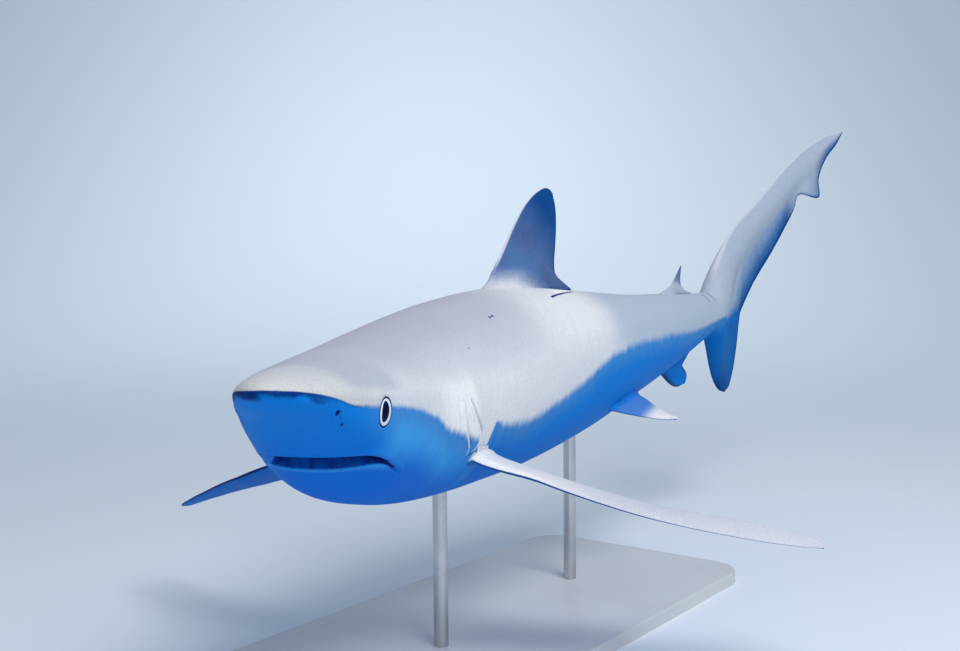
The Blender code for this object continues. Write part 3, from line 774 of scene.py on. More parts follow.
@dataclass
class Fin:
    """What every fin has: an outline in two edges, a thickness, and a round where it meets the body."""

    leading: Points
    trailing: Points
    rows: int
    sides: int
    fillet: float  # radius in shares of the length
    root_end: float  # where along its root the fin comes free of the body

    DENSE = 260  # rows that a fin is first worked out in
    LAST = 0.9995  # the last row's share, just short of where both edges meet

    def sheet(self) -> tuple[Array, Array, Array, Array]:
        """Dense rows of (chordwise, spanwise) pairs, with each row's share and the section's thicknesses."""
        share = np.linspace(0, 1, self.DENSE)
        chord, drop, rim = fin_section(self.sides)
        lead = outline(self.leading, share)[:, None, :]
        trail = outline(self.trailing, share)[:, None, :]
        return share[:, None], lead + (trail - lead) * chord[None, :, None], drop[None, :], rim[None, :]

    def grow_from(self, clear: Array) -> Array:
        """The dense share for each new row and column: from where the column leaves the body to the tip.

        Args:
            clear: How far each dense point is outside the body.

        Returns:
            Shares of the dense rows, closer together at the root and at the tip.
        """
        inside = clear < 0
        last = len(clear) - 1 - np.argmax(inside[::-1], axis=0)
        last = np.where(inside.any(axis=0), np.minimum(last, len(clear) - 2), 0)
        columns = np.arange(clear.shape[1])
        low, high = clear[last, columns], clear[last + 1, columns]
        start = (last + np.clip(-low / np.maximum(high - low, 1e-12), 0, 1)) / (len(clear) - 1)
        go = np.sin(math.pi / 2 * np.linspace(0, 1, self.rows) ** 1.35)[:, None]
        return start[None, :] + (self.LAST - start[None, :]) * go

    def flare(
        self, plan: Array, clear: Array, chordwise: Array, reach: float | Array, spread: float | Array
    ) -> tuple[Array, Array]:
        """Spreads the rows near the body by a quarter of an oval, so that the fin rises from it smoothly.

        Args:
            plan: Each point's place on the body's surface, two coordinates.
            clear: How far it is outside the body.
            chordwise: Its place along the root, which tells the free rear tip.
            reach: How far off the body each column starts to spread.
            spread: How far it is spread where it meets the body.

        Returns:
            The spread places, and the clearances, with the second row on the body and the first one sunk.
        """
        tangent = np.roll(plan, -1, axis=1) - np.roll(plan, 1, axis=1)
        away = unit(np.stack([tangent[..., 1], -tangent[..., 0]], axis=-1))
        from_middle = plan - plan.mean(axis=1, keepdims=True)
        outward = np.sign(np.sum(away * from_middle, axis=(1, 2), keepdims=True))
        short = np.clip(1 - np.clip(clear, 0, None) / reach, 0, 1)
        held = 1 - ramp(chordwise, self.root_end - 0.010, self.root_end - 0.001)
        row = np.arange(len(clear))[:, None]
        foot = np.where(row == 0, 0.0030, np.where(row == 1, 0.0008, 0.0))
        moved = (spread * (1 - np.sqrt(1 - short**2)) + foot) * held
        sunk = np.where(row == 0, -0.0005, np.where(row == 1, 0.0, clear))
        return plan + away * outward * moved[..., None], sunk

    @staticmethod
    def closed(rings: Array) -> Array:
        """The rings with one more inside the body, so that the fin is closed at its root too."""
        inner = rings[0].mean(axis=0)
        return np.concatenate([(inner + (rings[0] - inner) * 0.7)[None], rings])

    def shares(self, read: Array) -> tuple[Array, Array]:
        """Each point's shares of the chord and the span, for the closed rings."""
        chord = np.broadcast_to(fin_section(self.sides)[0], read.shape)
        return np.concatenate([chord[:1], chord]), np.concatenate([read[:1], read])


@dataclass
class MedianFin(Fin):
    """A fin on the back (side 1) or the belly (side -1)."""

    side: int = 1
    thick: float = 0.005

    def build(self, body: Body) -> tuple[Array, Array, Array]:
        """Rings of straight points, and each point's shares of the chord and the span.

        The half thickness is a drop, thinner towards the tip, plus the rim's own."""
        share, sheet, drop, rim = self.sheet()
        left = self.thick * (1 - 0.8 * share) * drop * -self.side + EDGE * rim
        dense = np.concatenate([sheet, left[..., None]], axis=-1)
        read = self.grow_from(dense[..., 1])
        along, clear, left = np.moveaxis(read_rows(dense, read), -1, 0)
        plan, clear = self.flare(np.stack([along, left], axis=-1), clear, along, self.fillet, self.fillet)
        up = self.side * (body.height_at(plan[..., 0], plan[..., 1], self.side) + clear)
        rings = np.stack([plan[..., 0], plan[..., 1], up], axis=-1)
        return self.closed(rings), *self.shares(read)


@dataclass
class PairedFin(Fin):
    """A pectoral or pelvic fin, stiff from its root, with its own hang and pitch on each side."""

    root: tuple[float, float, float] = (0.0, 0.0, 0.0)
    # degrees, for the left and the right fin: the hang at root and tip, and the pitch at root, middle and tip
    droop: Points = ((0, 0), (0, 0))
    pitch: Points = ((0, 0, 0), (0, 0, 0))
    thick: Pair = (0.004, 0.001)  # at root and tip
    saddle: Pair = (0.0, 0.0)  # how far out and up the rear of the top runs into the body
    sag: float = 0.0  # how far the leading edge hangs lower at the root
    root_share: float = 0.12  # of the span; past it, every point is clear of the body

    def on_top(self, side: int) -> Array:
        """Which of a section's points are on the fin's upper face."""
        return (np.arange(self.sides) < self.sides / 2) == (side > 0)

    def hang(self, spine: Spine, side: int) -> tuple[Array, Array, Array, Array]:
        """Dense rows in metres, the same straight, and each point's chordwise place and share of the span.

        A point goes back by its chord and out by its span; the droop turns it down about the body's
        axis, the pitch about the span, and both are blended from root to tip."""
        _, sheet, drop, rim = self.sheet()
        along, left, up = self.root
        root = spine.place(np.array([along, side * left, up]))
        turn = float(spine.at(np.array(along))[1])
        ways = np.array([
            [math.sin(turn), math.cos(turn), 0.0],
            [side * math.cos(turn), -side * math.sin(turn), 0.0],
            [0.0, 0.0, 1.0],
        ])
        chordwise, span = sheet[..., 0], sheet[..., 1]
        progress = np.clip(span / np.max(np.asarray(self.leading)[:, 1]), 0, 1)
        own = 0 if side > 0 else 1
        down = np.radians(np.interp(progress, (0, 1), self.droop[own]))
        tilt = np.radians(np.interp(progress, (0, 0.5, 1), self.pitch[own]))
        nose = np.interp(span, *np.asarray(self.leading).T[::-1])
        behind = chordwise - nose
        lift = side * ((self.thick[0] + (self.thick[1] - self.thick[0]) * progress) * drop + EDGE * rim)
        ahead = np.clip(1 - behind / np.ptp(chordwise, axis=1, keepdims=True), 0, 1)
        backward = nose + behind * np.cos(tilt)
        outward = span * np.cos(down) + lift * np.sin(down)
        upward = -span * np.sin(down) - behind * np.sin(tilt) + lift * np.cos(down)
        upward -= self.sag * ahead**1.5 * (1 - ramp(progress, 0.0, 0.22))
        placed = root + LENGTH * (np.stack([backward, outward, upward], axis=-1) @ ways)
        return placed, spine.unplace(placed, along + backward), chordwise, progress

    def build(self, body: Body, spine: Spine, side: int) -> tuple[Array, Array, Array, Array]:
        """Rings of points in metres, the same straight, and each point's shares of the chord and span."""
        placed, straight, chordwise, progress = self.hang(spine, side)
        clear = side * straight[..., 1] - body.width_at(straight[..., 0], straight[..., 2])
        clear = np.where(progress > self.root_share, np.maximum(clear, 0.004), clear)
        read = self.grow_from(clear)
        dense = np.concatenate([placed, straight, clear[..., None], chordwise[..., None]], axis=-1)
        values = read_rows(dense, read)
        placed, straight, clear, chordwise = values[..., :3], values[..., 3:6], values[..., 6], values[..., 7]
        across = fin_section(self.sides)[0]
        rear = np.where(self.on_top(side), ramp(across, 0.05, 0.60), ramp(across, 0.94, 1.0))
        reach, rise = (self.fillet + (size - self.fillet) * rear for size in self.saddle)
        plan, flared = self.flare(straight[..., ::2], clear, chordwise, reach, rise)
        width = body.width_at(plan[..., 0], plan[..., 1])
        grafted = np.stack([plan[..., 0], side * (width + flared), plan[..., 1]], axis=-1)
        near = (1 - ramp(clear / reach, 1.0, 1.6))[..., None]
        placed = placed + (spine.place(grafted) - placed) * near
        straight = straight + (grafted - straight) * near
        return self.closed(placed), self.closed(straight), *self.shares(read)


FIRST_DORSAL = MedianFin(
    leading=(
        (0.345, -0.0120), (0.354, 0.0015), (0.377, 0.0275), (0.392, 0.0455),
        (0.4095, 0.0635), (0.425, 0.0735), (0.4370, 0.0776), (0.4425, 0.0770), (0.4460, 0.0745),
    ),
    trailing=(
        (0.438, -0.0120), (0.443, -0.0012), (0.459, -0.0006), (0.4735, 0.0004), (0.461, 0.0064),
        (0.4498, 0.0122), (0.4485, 0.0200), (0.4500, 0.0330), (0.4515, 0.0500), (0.4500, 0.0660),
        (0.4468, 0.0735),
    ),
    rows=46, sides=44, fillet=0.0060, root_end=0.443, side=1, thick=0.0052,
)
SECOND_DORSAL = MedianFin(
    leading=(
        (0.622, -0.0080), (0.635, 0.0010), (0.648, 0.0056), (0.660, 0.0130), (0.669, 0.0208), (0.6755, 0.0268),
    ),
    trailing=(
        (0.658, -0.0080), (0.664, -0.0008), (0.680, -0.0004), (0.700, 0.0006), (0.684, 0.0040),
        (0.6762, 0.0090), (0.6750, 0.0150), (0.6762, 0.0215), (0.6770, 0.0262),
    ),
    rows=30, sides=32, fillet=0.0030, root_end=0.664, side=1, thick=0.0030,
)
ANAL = MedianFin(
    leading=(
        (0.620, -0.0080), (0.630, 0.0010), (0.6395, 0.0095), (0.650, 0.0180), (0.668, 0.0278), (0.683, 0.0305),
    ),
    trailing=(
        (0.664, -0.0080), (0.670, -0.0008), (0.700, 0.0030), (0.686, 0.0060), (0.6795, 0.0105),
        (0.6830, 0.0150), (0.6895, 0.0220), (0.6905, 0.0265), (0.6865, 0.0300),
    ),
    rows=30, sides=32, fillet=0.0030, root_end=0.670, side=-1, thick=0.0030,
)
PECTORAL = PairedFin(
    leading=(
        (0.007, -0.030), (0.010, 0.000), (0.023, 0.052), (0.046, 0.109), (0.077, 0.162), (0.099, 0.195),
        (0.110, 0.209), (0.117, 0.2155),
    ),
    trailing=(
        (0.036, -0.030), (0.048, 0.000), (0.062, 0.010), (0.070, 0.022), (0.0755, 0.038), (0.081, 0.076),
        (0.091, 0.122), (0.105, 0.168), (0.116, 0.196), (0.121, 0.209), (0.1195, 0.215),
    ),
    rows=64, sides=40, fillet=0.0010, root_end=0.200,
    root=(0.2265, 0.0465, -0.0400),
    droop=((26.3, 19.4), (18, 21.75)),
    pitch=((15, 4, -24), (19, 18, 17)),
    thick=(0.0029, 0.0006),
    saddle=(0.0140, 0.0024), sag=0.0060,
)
PELVIC = PairedFin(
    leading=(
        (-0.030, -0.020), (-0.025, 0.000), (-0.007, 0.0120), (0.020, 0.0252), (0.041, 0.0330), (0.055, 0.0355),
    ),
    trailing=(
        (0.038, -0.020), (0.046, 0.000), (0.0485, 0.006), (0.0485, 0.012), (0.0500, 0.020), (0.0540, 0.029),
        (0.0575, 0.0345),
    ),
    rows=30, sides=32, fillet=0.0030, root_end=0.200,
    root=(0.495, 0.0260, -0.0420),
    droop=((34, 32), (34, 32)),
    thick=(0.0032, 0.0010),
    saddle=(0.0060, 0.0040),
)


@dataclass
class TailFin:
    """The tail fin: straight rungs from its upper edge to its lower one, which runs round both lobes."""

    root: float = 0.738
    upper: Points = (
        (0.738, 0.0230), (0.748, 0.0390), (0.769, 0.0600), (0.800, 0.0812), (0.836, 0.0980),
        (0.887, 0.1300), (0.918, 0.1472), (0.943, 0.1562), (0.970, 0.1592),
    )
    lower_front: Points = (
        (0.738, -0.0170), (0.749, -0.0270), (0.7525, -0.0420), (0.7530, -0.0600), (0.7570, -0.0714),
        (0.768, -0.0822), (0.779, -0.0862),
    )
    lower_back: Points = (
        (0.779, -0.0862), (0.787, -0.0826), (0.7945, -0.0700), (0.8015, -0.0480), (0.806, -0.0250),
        (0.809, -0.0105),
    )
    upper_back: Points = (
        (0.809, -0.0105), (0.836, 0.0180), (0.862, 0.0400), (0.884, 0.0635), (0.902, 0.0880),
        (0.9045, 0.0960), (0.938, 0.0925), (0.9365, 0.1110), (0.948, 0.1335), (0.962, 0.1465),
        (0.970, 0.1582),
    )
    # each rung from the upper edge, at this share of its length, to a share of the three lower curves
    rungs: Points = (
        (0.00, 0.00), (0.19, 0.62), (0.255, 1.00), (0.33, 1.62), (0.38, 2.00),
        (0.62, 2.42), (0.72, 2.56), (0.785, 2.625), (0.815, 2.70), (0.86, 2.765), (0.93, 2.88), (1.00, 3.00),
    )
    core: Points = (  # the backbone's line in the upper lobe: along, up, half thickness, reach to each side
        (0.735, 0.0030, 0.0145, 0.0230), (0.750, 0.0120, 0.0120, 0.0230), (0.765, 0.0260, 0.0090, 0.0210),
        (0.785, 0.0450, 0.0062, 0.0180), (0.810, 0.0640, 0.0048, 0.0160), (0.850, 0.0880, 0.0038, 0.0140),
        (0.895, 0.1150, 0.0028, 0.0120), (0.935, 0.1380, 0.0018, 0.0090), (0.965, 0.1560, 0.0006, 0.0050),
    )
    rows: int = 62

    def edges(self, row: Array) -> tuple[Array, Array]:
        """The upper and the lower end of the rungs at shares of the rows."""
        knots = np.array(self.rungs)
        index = np.linspace(0, 1, len(knots))
        upper = outline(self.upper, np.interp(row, index, knots[:, 0]))
        where = np.interp(row, index, knots[:, 1])
        pick = np.clip(where.astype(int), 0, 2)[:, None]
        lower = sum(
            np.where(pick == k, outline(points, np.clip(where - k, 0, 1)), 0.0)
            for k, points in enumerate((self.lower_front, self.lower_back, self.upper_back))
        )
        return upper, lower

    def build(self, body: Body, angle: Array) -> tuple[Array, Array, Array]:
        """Rings of straight points past the body's last, with what the paint needs to know of each point.

        Half the thickness is the backbone's hump, by its distance from the core's line, plus a web that
        grows with the distance from the edge. It starts as the stem's own oval.

        Args:
            body: The body, whose ring at the root is the first one here.
            angle: The ring's angles.

        Returns:
            The rings, each point's share of its rung, and its distance from the edge in metres.
        """
        row = np.linspace(0, 1, self.rows)
        upper, lower = self.edges(row)
        first = body.ring(np.full(len(angle), self.root), angle)
        drop = (first[:, 2].max() - first[:, 2]) / np.ptp(first[:, 2])
        even = (1 - np.sin(angle)) / 2
        settle = ramp(row, 0.0, 0.20)[:, None]
        share = drop * (1 - settle) + even * settle
        plan = upper[:, None, :] + (lower - upper)[:, None, :] * share[..., None]
        fine = np.linspace(0, 1, 300)
        top, bottom = self.edges(fine)
        edge = np.concatenate([top, bottom[::-1]]) * LENGTH
        apart = np.linalg.norm(np.diff(edge, axis=0, append=edge[:1]), axis=1) > 1e-7
        from_edge, _ = to_curve(plan * LENGTH, edge[apart])
        spine_line = outline(self.core, fine[::4])
        from_core, where = to_curve(plan, spine_line[:, :2])
        sizes = spine_line[:, None, 2:].repeat(len(angle), 1)
        half, reach = np.moveaxis(read_rows(sizes, where), -1, 0)
        hump = half * np.clip(1 - (from_core / (1.5 * reach)) ** 2, 0, 1) ** 2
        hump = hump * (1 - np.exp(-from_edge / (9 * MM)))
        rounding = 1.2 * MM * np.sqrt(np.clip(from_edge / (3 * MM), 0, 1))
        web = (rounding + 2.2 * MM * (1 - np.exp(-from_edge / (35 * MM)))) / LENGTH
        oval = first[:, 1] * np.sign(np.cos(angle))
        mix = ramp(row, 0.0, 0.24)[:, None]
        left = np.sign(np.round(np.cos(angle), 6)) * (oval * (1 - mix) + (hump + web) * mix)
        rings = np.stack([plan[..., 0], left, plan[..., 1]], axis=-1)
        rings[0] = first
        return rings, share, from_edge


# ---- skin


@dataclass
class Skin:
    """The one skin over the head, trunk and fins, finest where the face and the gills are."""

    spine: Spine
    body: Body
    half_columns: int = 112  # of a ring, from the back down one side to the belly
    coarse_from: float = 0.246  # behind here, rings have half the columns
    face: float = 0.10  # the place along of the ring that the columns are spread evenly round
    # how much closer than evenly they are, by the angle in radians from the belly to the back
    density: Points = (
        (-math.pi / 2, 0.90), (-0.55, 1.15), (-0.10, 1.15), (0.25, 1.00), (0.60, 0.45), (math.pi / 2, 0.40),
    )
    spacing: Points = (  # along, and the rings' distance there
        (0.000, 0.0002), (0.004, 0.0006), (0.012, 0.0011), (0.034, 0.001), (0.040, 0.00072),
        (0.126, 0.00072), (0.134, 0.0015), (0.158, 0.0016), (0.1625, 0.0006), (0.1655, 0.0006),
        (0.169, 0.0018), (0.1735, 0.0018), (0.176, 0.0006), (0.179, 0.0006), (0.1815, 0.0016),
        (0.185, 0.0016), (0.1875, 0.0006), (0.1905, 0.0006), (0.193, 0.0012), (0.195, 0.001),
        (0.197, 0.0005), (0.200, 0.0005), (0.202, 0.001), (0.206, 0.001), (0.208, 0.0005), (0.211, 0.0005),
        (0.213, 0.0011), (0.238, 0.0022), (0.275, 0.0042), (0.697, 0.0045), (0.709, 0.0016),
        (0.738, 0.0016),
    )
    mouth: Mouth = field(default_factory=Mouth)
    gills: Gills = field(default_factory=Gills)
    socket: EyeSocket = field(default_factory=EyeSocket)
    others: tuple = field(default_factory=lambda: (Nostril(), Creases(), TailNotches()))

    def stations(self) -> Array:
        """The rings' places: as many steps as the integral of one over the spacing, evenly shared."""
        table = np.array(self.spacing)
        fine = np.linspace(0, table[-1, 0], 8000)
        count = totals(np.diff(fine) / np.interp(fine[1:], *table.T))
        whole = np.linspace(0, count[-1], int(round(count[-1])) + 1)
        return np.interp(whole, count, fine)[1:]

    def angles(self) -> Array:
        """A ring's angles from the back down the left side, and up the right: closer low on the face."""
        fine = np.linspace(math.pi / 2, -math.pi / 2, 2000)
        ring = self.body.ring(np.full(len(fine), self.face), fine)
        steps = np.linalg.norm(np.diff(ring, axis=0), axis=1)
        count = totals(steps * np.interp(fine[1:], *zip(*self.density)))
        left = np.interp(np.linspace(0, count[-1], self.half_columns + 1), count, fine)
        return np.concatenate([left, math.pi - left[-2:0:-1]])

    def trunk(self) -> Patch:
        """The head, trunk, stem and tail fin as one closed surface, with every fold pressed into it."""
        angle = self.angles()
        rows = self.stations()
        level = self.body.ring(*np.broadcast_arrays(rows[:, None], angle))
        along = self.gills.leaned(level[..., 0], level[..., 2])
        straight = self.body.ring(*np.broadcast_arrays(along, angle))
        lift, marks = unmarked(straight)
        for feature in (self.mouth, self.gills, self.socket, *self.others):
            out, shown = feature.lift(straight, self.body)
            lift += out
            marks = np.maximum(marks, shown)
        lifted = self.pushed(straight, lift)
        tail, share, from_edge = TailFin().build(self.body, angle[::2])
        fine = rows < self.coarse_from
        grids = [
            [grid[fine], grid[~fine][:, ::2], rest]
            for grid, rest in (
                (lifted, tail[1:]),
                (straight, tail[1:]),
                (marks, np.full(tail[1:].shape, NOWHERE)),
                (np.zeros(straight.shape), self.tail_paint(tail[1:], share[1:], from_edge[1:])),
            )
        ]
        points, flat, marks, paint = (
            np.concatenate([part.reshape(-1, 3) for part in grid]) for grid in grids
        )
        first = np.arange(fine.sum() * len(angle)).reshape(-1, len(angle))
        second = np.arange(first.size, len(points)).reshape(-1, len(angle) // 2)
        faces = quads(first) + quads(second) + [stitch(first[-1], second[0])]
        faces += [fan(first[0], len(points)), fan(second[-1][::-1], len(points) + 1)]
        ends = np.stack([np.zeros(3), tail[-1].mean(axis=0)])
        paint, marks = (np.concatenate([values, values[[0, -1]]]) for values in (paint, marks))
        points, flat = (np.concatenate([places, ends]) for places in (points, flat))
        return Patch(points, faces, paint, marks, flat=flat)

    @staticmethod
    def pushed(straight: Array, lift: Array) -> Array:
        """The surface moved along its own normal, the cross product of its two directions."""
        round_way = np.roll(straight, -1, axis=1) - np.roll(straight, 1, axis=1)
        normal = unit(np.cross(np.gradient(straight, axis=0), round_way))
        centre = straight.mean(axis=1, keepdims=True)
        normal *= np.sign(np.sum(normal * (straight - centre), axis=-1, keepdims=True))
        return straight + normal * (lift / LENGTH)[..., None]

    @staticmethod
    def tail_paint(rings: Array, share: Array, from_edge: Array) -> Array:
        """Pale along the tail's upper edge and blue over the web behind it, as painted light and painted
        shade, and dark at its rim.

        Args:
            rings: Straight points.
            share: Each one's share of its rung, from the upper edge down.
            from_edge: Its distance from the fin's edge in metres.
        """
        along, _, up = np.moveaxis(rings, -1, 0)
        past_root = ramp(along, 0.739, 0.762)
        # where the lit upper strip ends down each rung: painted light above, painted shade on the web below
        lit_to = ((0.740, 0.52), (0.775, 0.44), (0.850, 0.44), (0.885, 0.52), (0.920, 0.66), (0.950, 0.95))
        band = np.interp(along, *zip(*lit_to))
        low = 1 - ramp(up, -0.024, 0.002)
        web = np.maximum(ramp(share, band - 0.14, band + 0.14) * (1 - ramp(along, 0.885, 0.908)), low)
        blue = -1 + web * (1.36 + 0.34 * ramp(share, 0.55, 0.95) + 1.3 * low)
        near_rim = bell(from_edge, 4 * MM) * np.maximum(ramp(share, 0.3, 0.6), low)
        tip = ramp(along, 0.915, 0.948) * ramp(share, 0.25, 0.75)
        slate = web * (0.20 + 0.70 * ramp(share, 0.55, 0.95) * (1 - 0.6 * low) + 0.32 * low)
        slate = np.clip(0.05 + slate + 0.9 * near_rim + 0.75 * tip, 0, 1)
        # a pale rim along the upper edge: a painted highlight
        edge = bell(from_edge, 3 * MM) * (1 - ramp(share, 0.02, 0.1))
        return np.stack([slate * past_root, 0.6 * edge * past_root, past_root * blue], axis=-1)

    def median_patch(self, fin: MedianFin, dark: float, raised: float) -> Patch:
        """A back or belly fin with its paint: slate faces, a pale front rim that is a painted highlight, and
        dark rear edges.

        Args:
            fin: The fin.
            dark: How dark its faces are. Below a half, only bands along its edges are dark.
            raised: How far up its height the slate starts.
        """
        rings, chord, span = fin.build(self.body)
        patch = Patch.tube(rings)
        middle = self.body.height_at(rings[..., 0], np.zeros(chord.shape), fin.side)
        height = (np.abs(rings[..., 2]) - middle) * LENGTH
        tall = height / (np.ptp(np.asarray(fin.leading)[:, 1]) * LENGTH)
        base = np.interp(chord, (0.0, 0.3, 0.5, 0.8), (0.06, 0.06, 0.00, -0.10))
        face = ramp(tall - raised - base, -0.08, 0.12)
        slate = face * (dark * (0.90 + 0.12 * ramp(span, 0.40, 0.95)) + ramp(chord, 0.955, 0.985))
        rim = np.zeros(chord.shape)
        if dark > 0.5:
            # the lit front rim: a painted highlight
            rim = (1 - ramp(chord, 0.004, 0.016)) * 0.8 * ramp(tall, 0.1, 0.25)
        else:
            along_edges = 1 - ramp(chord * (1 - chord), 0.03, 0.15)
            slate = np.maximum(slate, 1.4 * (1 - dark) * face * along_edges)
        paint = np.stack([np.clip(slate, 0, 1), rim, -fin.side * face], axis=-1)
        patch.paint[: slate.size] = paint.reshape(-1, 3)
        wide = np.ptp(rings[..., 0], axis=1, keepdims=True) * LENGTH / MM
        edge = np.where(tall > 0.05, 1.1 - (1 - chord) * wide, NOWHERE)
        if fin is ANAL:
            edge = np.maximum(edge, 1.3 - chord * wide)
        # painted shadow in the gap under the free rear tip
        shadow_under_tip = np.where(chord > 0.95, 1.2 - np.abs(height) / MM, NOWHERE)
        patch.marks[: slate.size, FOLD] = np.maximum(np.maximum(shadow_under_tip, edge), NOWHERE).ravel()
        return patch

    def paired_patch(self, fin: PairedFin, white_from: float, side: int) -> Patch:
        """A pectoral or pelvic fin with its paint: pale on top as painted light, blue below as painted shade,
        with a dark front edge there, also painted shade.

        Args:
            fin: The fin.
            white_from: The share of its span from which its top is white, or 0 for all of it.
            side: 1 for the left fin, -1 for the right.
        """
        placed, straight, chord, span = fin.build(self.body, self.spine, side)
        patch = Patch.tube(straight)
        patch.placed = Patch.tube(placed).points
        top = np.broadcast_to(fin.on_top(side), chord.shape)
        clear = (side * straight[..., 1] - self.body.width_at(straight[..., 0], straight[..., 2])) * LENGTH
        if fin is PECTORAL:
            # a dark line along the root's top fold: painted shade
            fold = 1.1 * bell(chord - 0.62, 0.22) - np.abs(clear / MM - 2.0)
            on_top = np.where(chord > 0.12, 1.0, ramp(clear, 0, 1 * MM))
        else:
            fold = NOWHERE
            on_top = ramp(clear, 0, 22 * MM)
        free = np.where(top, on_top, ramp(clear, 0.2 * MM, 4 * MM))
        white, white_rim = (ramp(span, white_from, white_from + 0.2), 1.0) if white_from else (1.0, 0.22)
        # below, dark near the front edge: painted shade
        slate = np.where(top, 0.25 * (1 - white) + 0.12 * white, 1 - ramp(chord, 0.02, 0.06))
        rim = top * (white * white_rim + (1 - white) * 0.08)
        blue = np.where(top, 0.50 - 1.50 * white, 1.0)
        paint = np.stack([slate, rim, blue], axis=-1) * free[..., None]
        patch.paint[: slate.size] = paint.reshape(-1, 3)
        chord_length = (fin.trailing[1][0] - fin.leading[1][0]) * LENGTH / MM
        # a dark mark under the front edge: painted shade
        shade_under_front_edge = np.where(clear < 0, NOWHERE, 1.6 - chord * chord_length)
        patch.marks[: slate.size, FOLD] = np.maximum(np.where(top, fold, shade_under_front_edge), NOWHERE).ravel()
        return patch

    def fin_patches(self) -> list[Patch]:
        """The fins, each closed, with its paint."""
        median = ((FIRST_DORSAL, 1.0, 0.0), (SECOND_DORSAL, 0.75, 0.25), (ANAL, 0.12, 0.0))
        paired = ((PECTORAL, 0.0), (PELVIC, 0.55))
        return [self.median_patch(fin, dark, raised) for fin, dark, raised in median] + [
            self.paired_patch(fin, white_from, side) for fin, white_from in paired for side in (1, -1)
        ]

    def lid_patches(self) -> list[Patch]:
        """The two rolled lids, closed rings that lie on the face."""
        patches = []
        for side in (1, -1):
            rings, rim = self.socket.lid(self.body, side)
            grid = np.arange(rim.size).reshape(rim.shape)
            marks = np.full((rim.size, 3), NOWHERE)
            # the lid's inner rim is painted dark: painted shade
            marks[:, OPENING] = rim.ravel()
            faces = quads(np.concatenate([grid, grid[:1]]))
            patches.append(Patch(rings.reshape(-1, 3), faces, np.zeros((rim.size, 3)), marks))
        return patches

    def build(self) -> bpy.types.Object:
        """The skin's object, with what its paint reads stored on its points."""
        patches = [self.trunk(), *self.fin_patches(), *self.lid_patches()]
        points, faces, start = [], [], 0
        for patch in patches:
            placed = patch.placed if patch.placed is not None else self.spine.place(patch.points)
            faces += [group + start for group in turned_out(placed, patch.faces)]
            points.append(placed)
            start += len(placed)
        threes = np.concatenate([group for group in faces if group.shape[1] == 3])
        fours = np.concatenate([group for group in faces if group.shape[1] == 4])
        skin = make_object("shark_skin", np.concatenate(points), [fours, threes])
        flat = np.concatenate([patch.points if patch.flat is None else patch.flat for patch in patches])
        _, above, below, _, _ = self.body.sizes(flat[:, 0])
        half = np.maximum(np.where(flat[:, 2] > 0, above, below), 1e-3)
        add_attribute(skin, "straight", flat)
        add_attribute(skin, "paint", np.concatenate([patch.paint for patch in patches]))
        add_attribute(skin, "marks", np.concatenate([patch.marks for patch in patches]))
        add_attribute(skin, "lips", np.pad(self.mouth.past_lips(flat, self.body) / MM, ((0, 0), (0, 1))))
        add_attribute(skin, "girth", np.clip(flat[:, 2] / half, -1, 1))
        LOG.info("skin: %d points, %d triangles", start, 2 * len(fours) + len(threes))
        return skin


# ---- eyes


@dataclass
class Eye:
    """An eyeball seated in its lids: a low dome over the opening, and a deep bowl behind it."""

    name: str
    side: int
    dome: float = 2.2  # millimetres that the front stands out of the skin's own line
    fall: float = 2.5  # that it has fallen by the opening's rim
    reach: float = 1.16  # widest share of the opening
    bowl: float = 13.0  # millimetres that the back goes in

    def build(self, spine: Spine, socket: EyeSocket, body: Body) -> bpy.types.Object:
        """Rings from the front's middle to the back's: the dome falls by the square of the share, and
        the bowl is half an ellipse."""
        front = np.linspace(0, 1, 22)[1:] * self.reach
        back = np.linspace(0, math.pi / 2, 12)[1:-1]
        share = np.concatenate([front, self.reach * np.cos(back)])[:, None]
        rim = self.dome - self.fall * self.reach**2
        out = np.concatenate([self.dome - self.fall * front**2, rim - self.bowl * np.sin(back)])[:, None]
        round_way = np.linspace(0, 2 * math.pi, 96, endpoint=False)[None]
        straight = socket.on_oval(body, share + 0 * round_way, round_way + 0 * share, out + 0 * round_way)
        patch = Patch.tube(straight * np.array([1, self.side, 1]))
        ball = make_object(self.name, spine.place(patch.points), patch.faces)
        across, tall = socket.local(patch.points)
        add_attribute(ball, "gaze", np.stack([0 * across, across, tall], axis=-1))
        return ball


# ---- materials


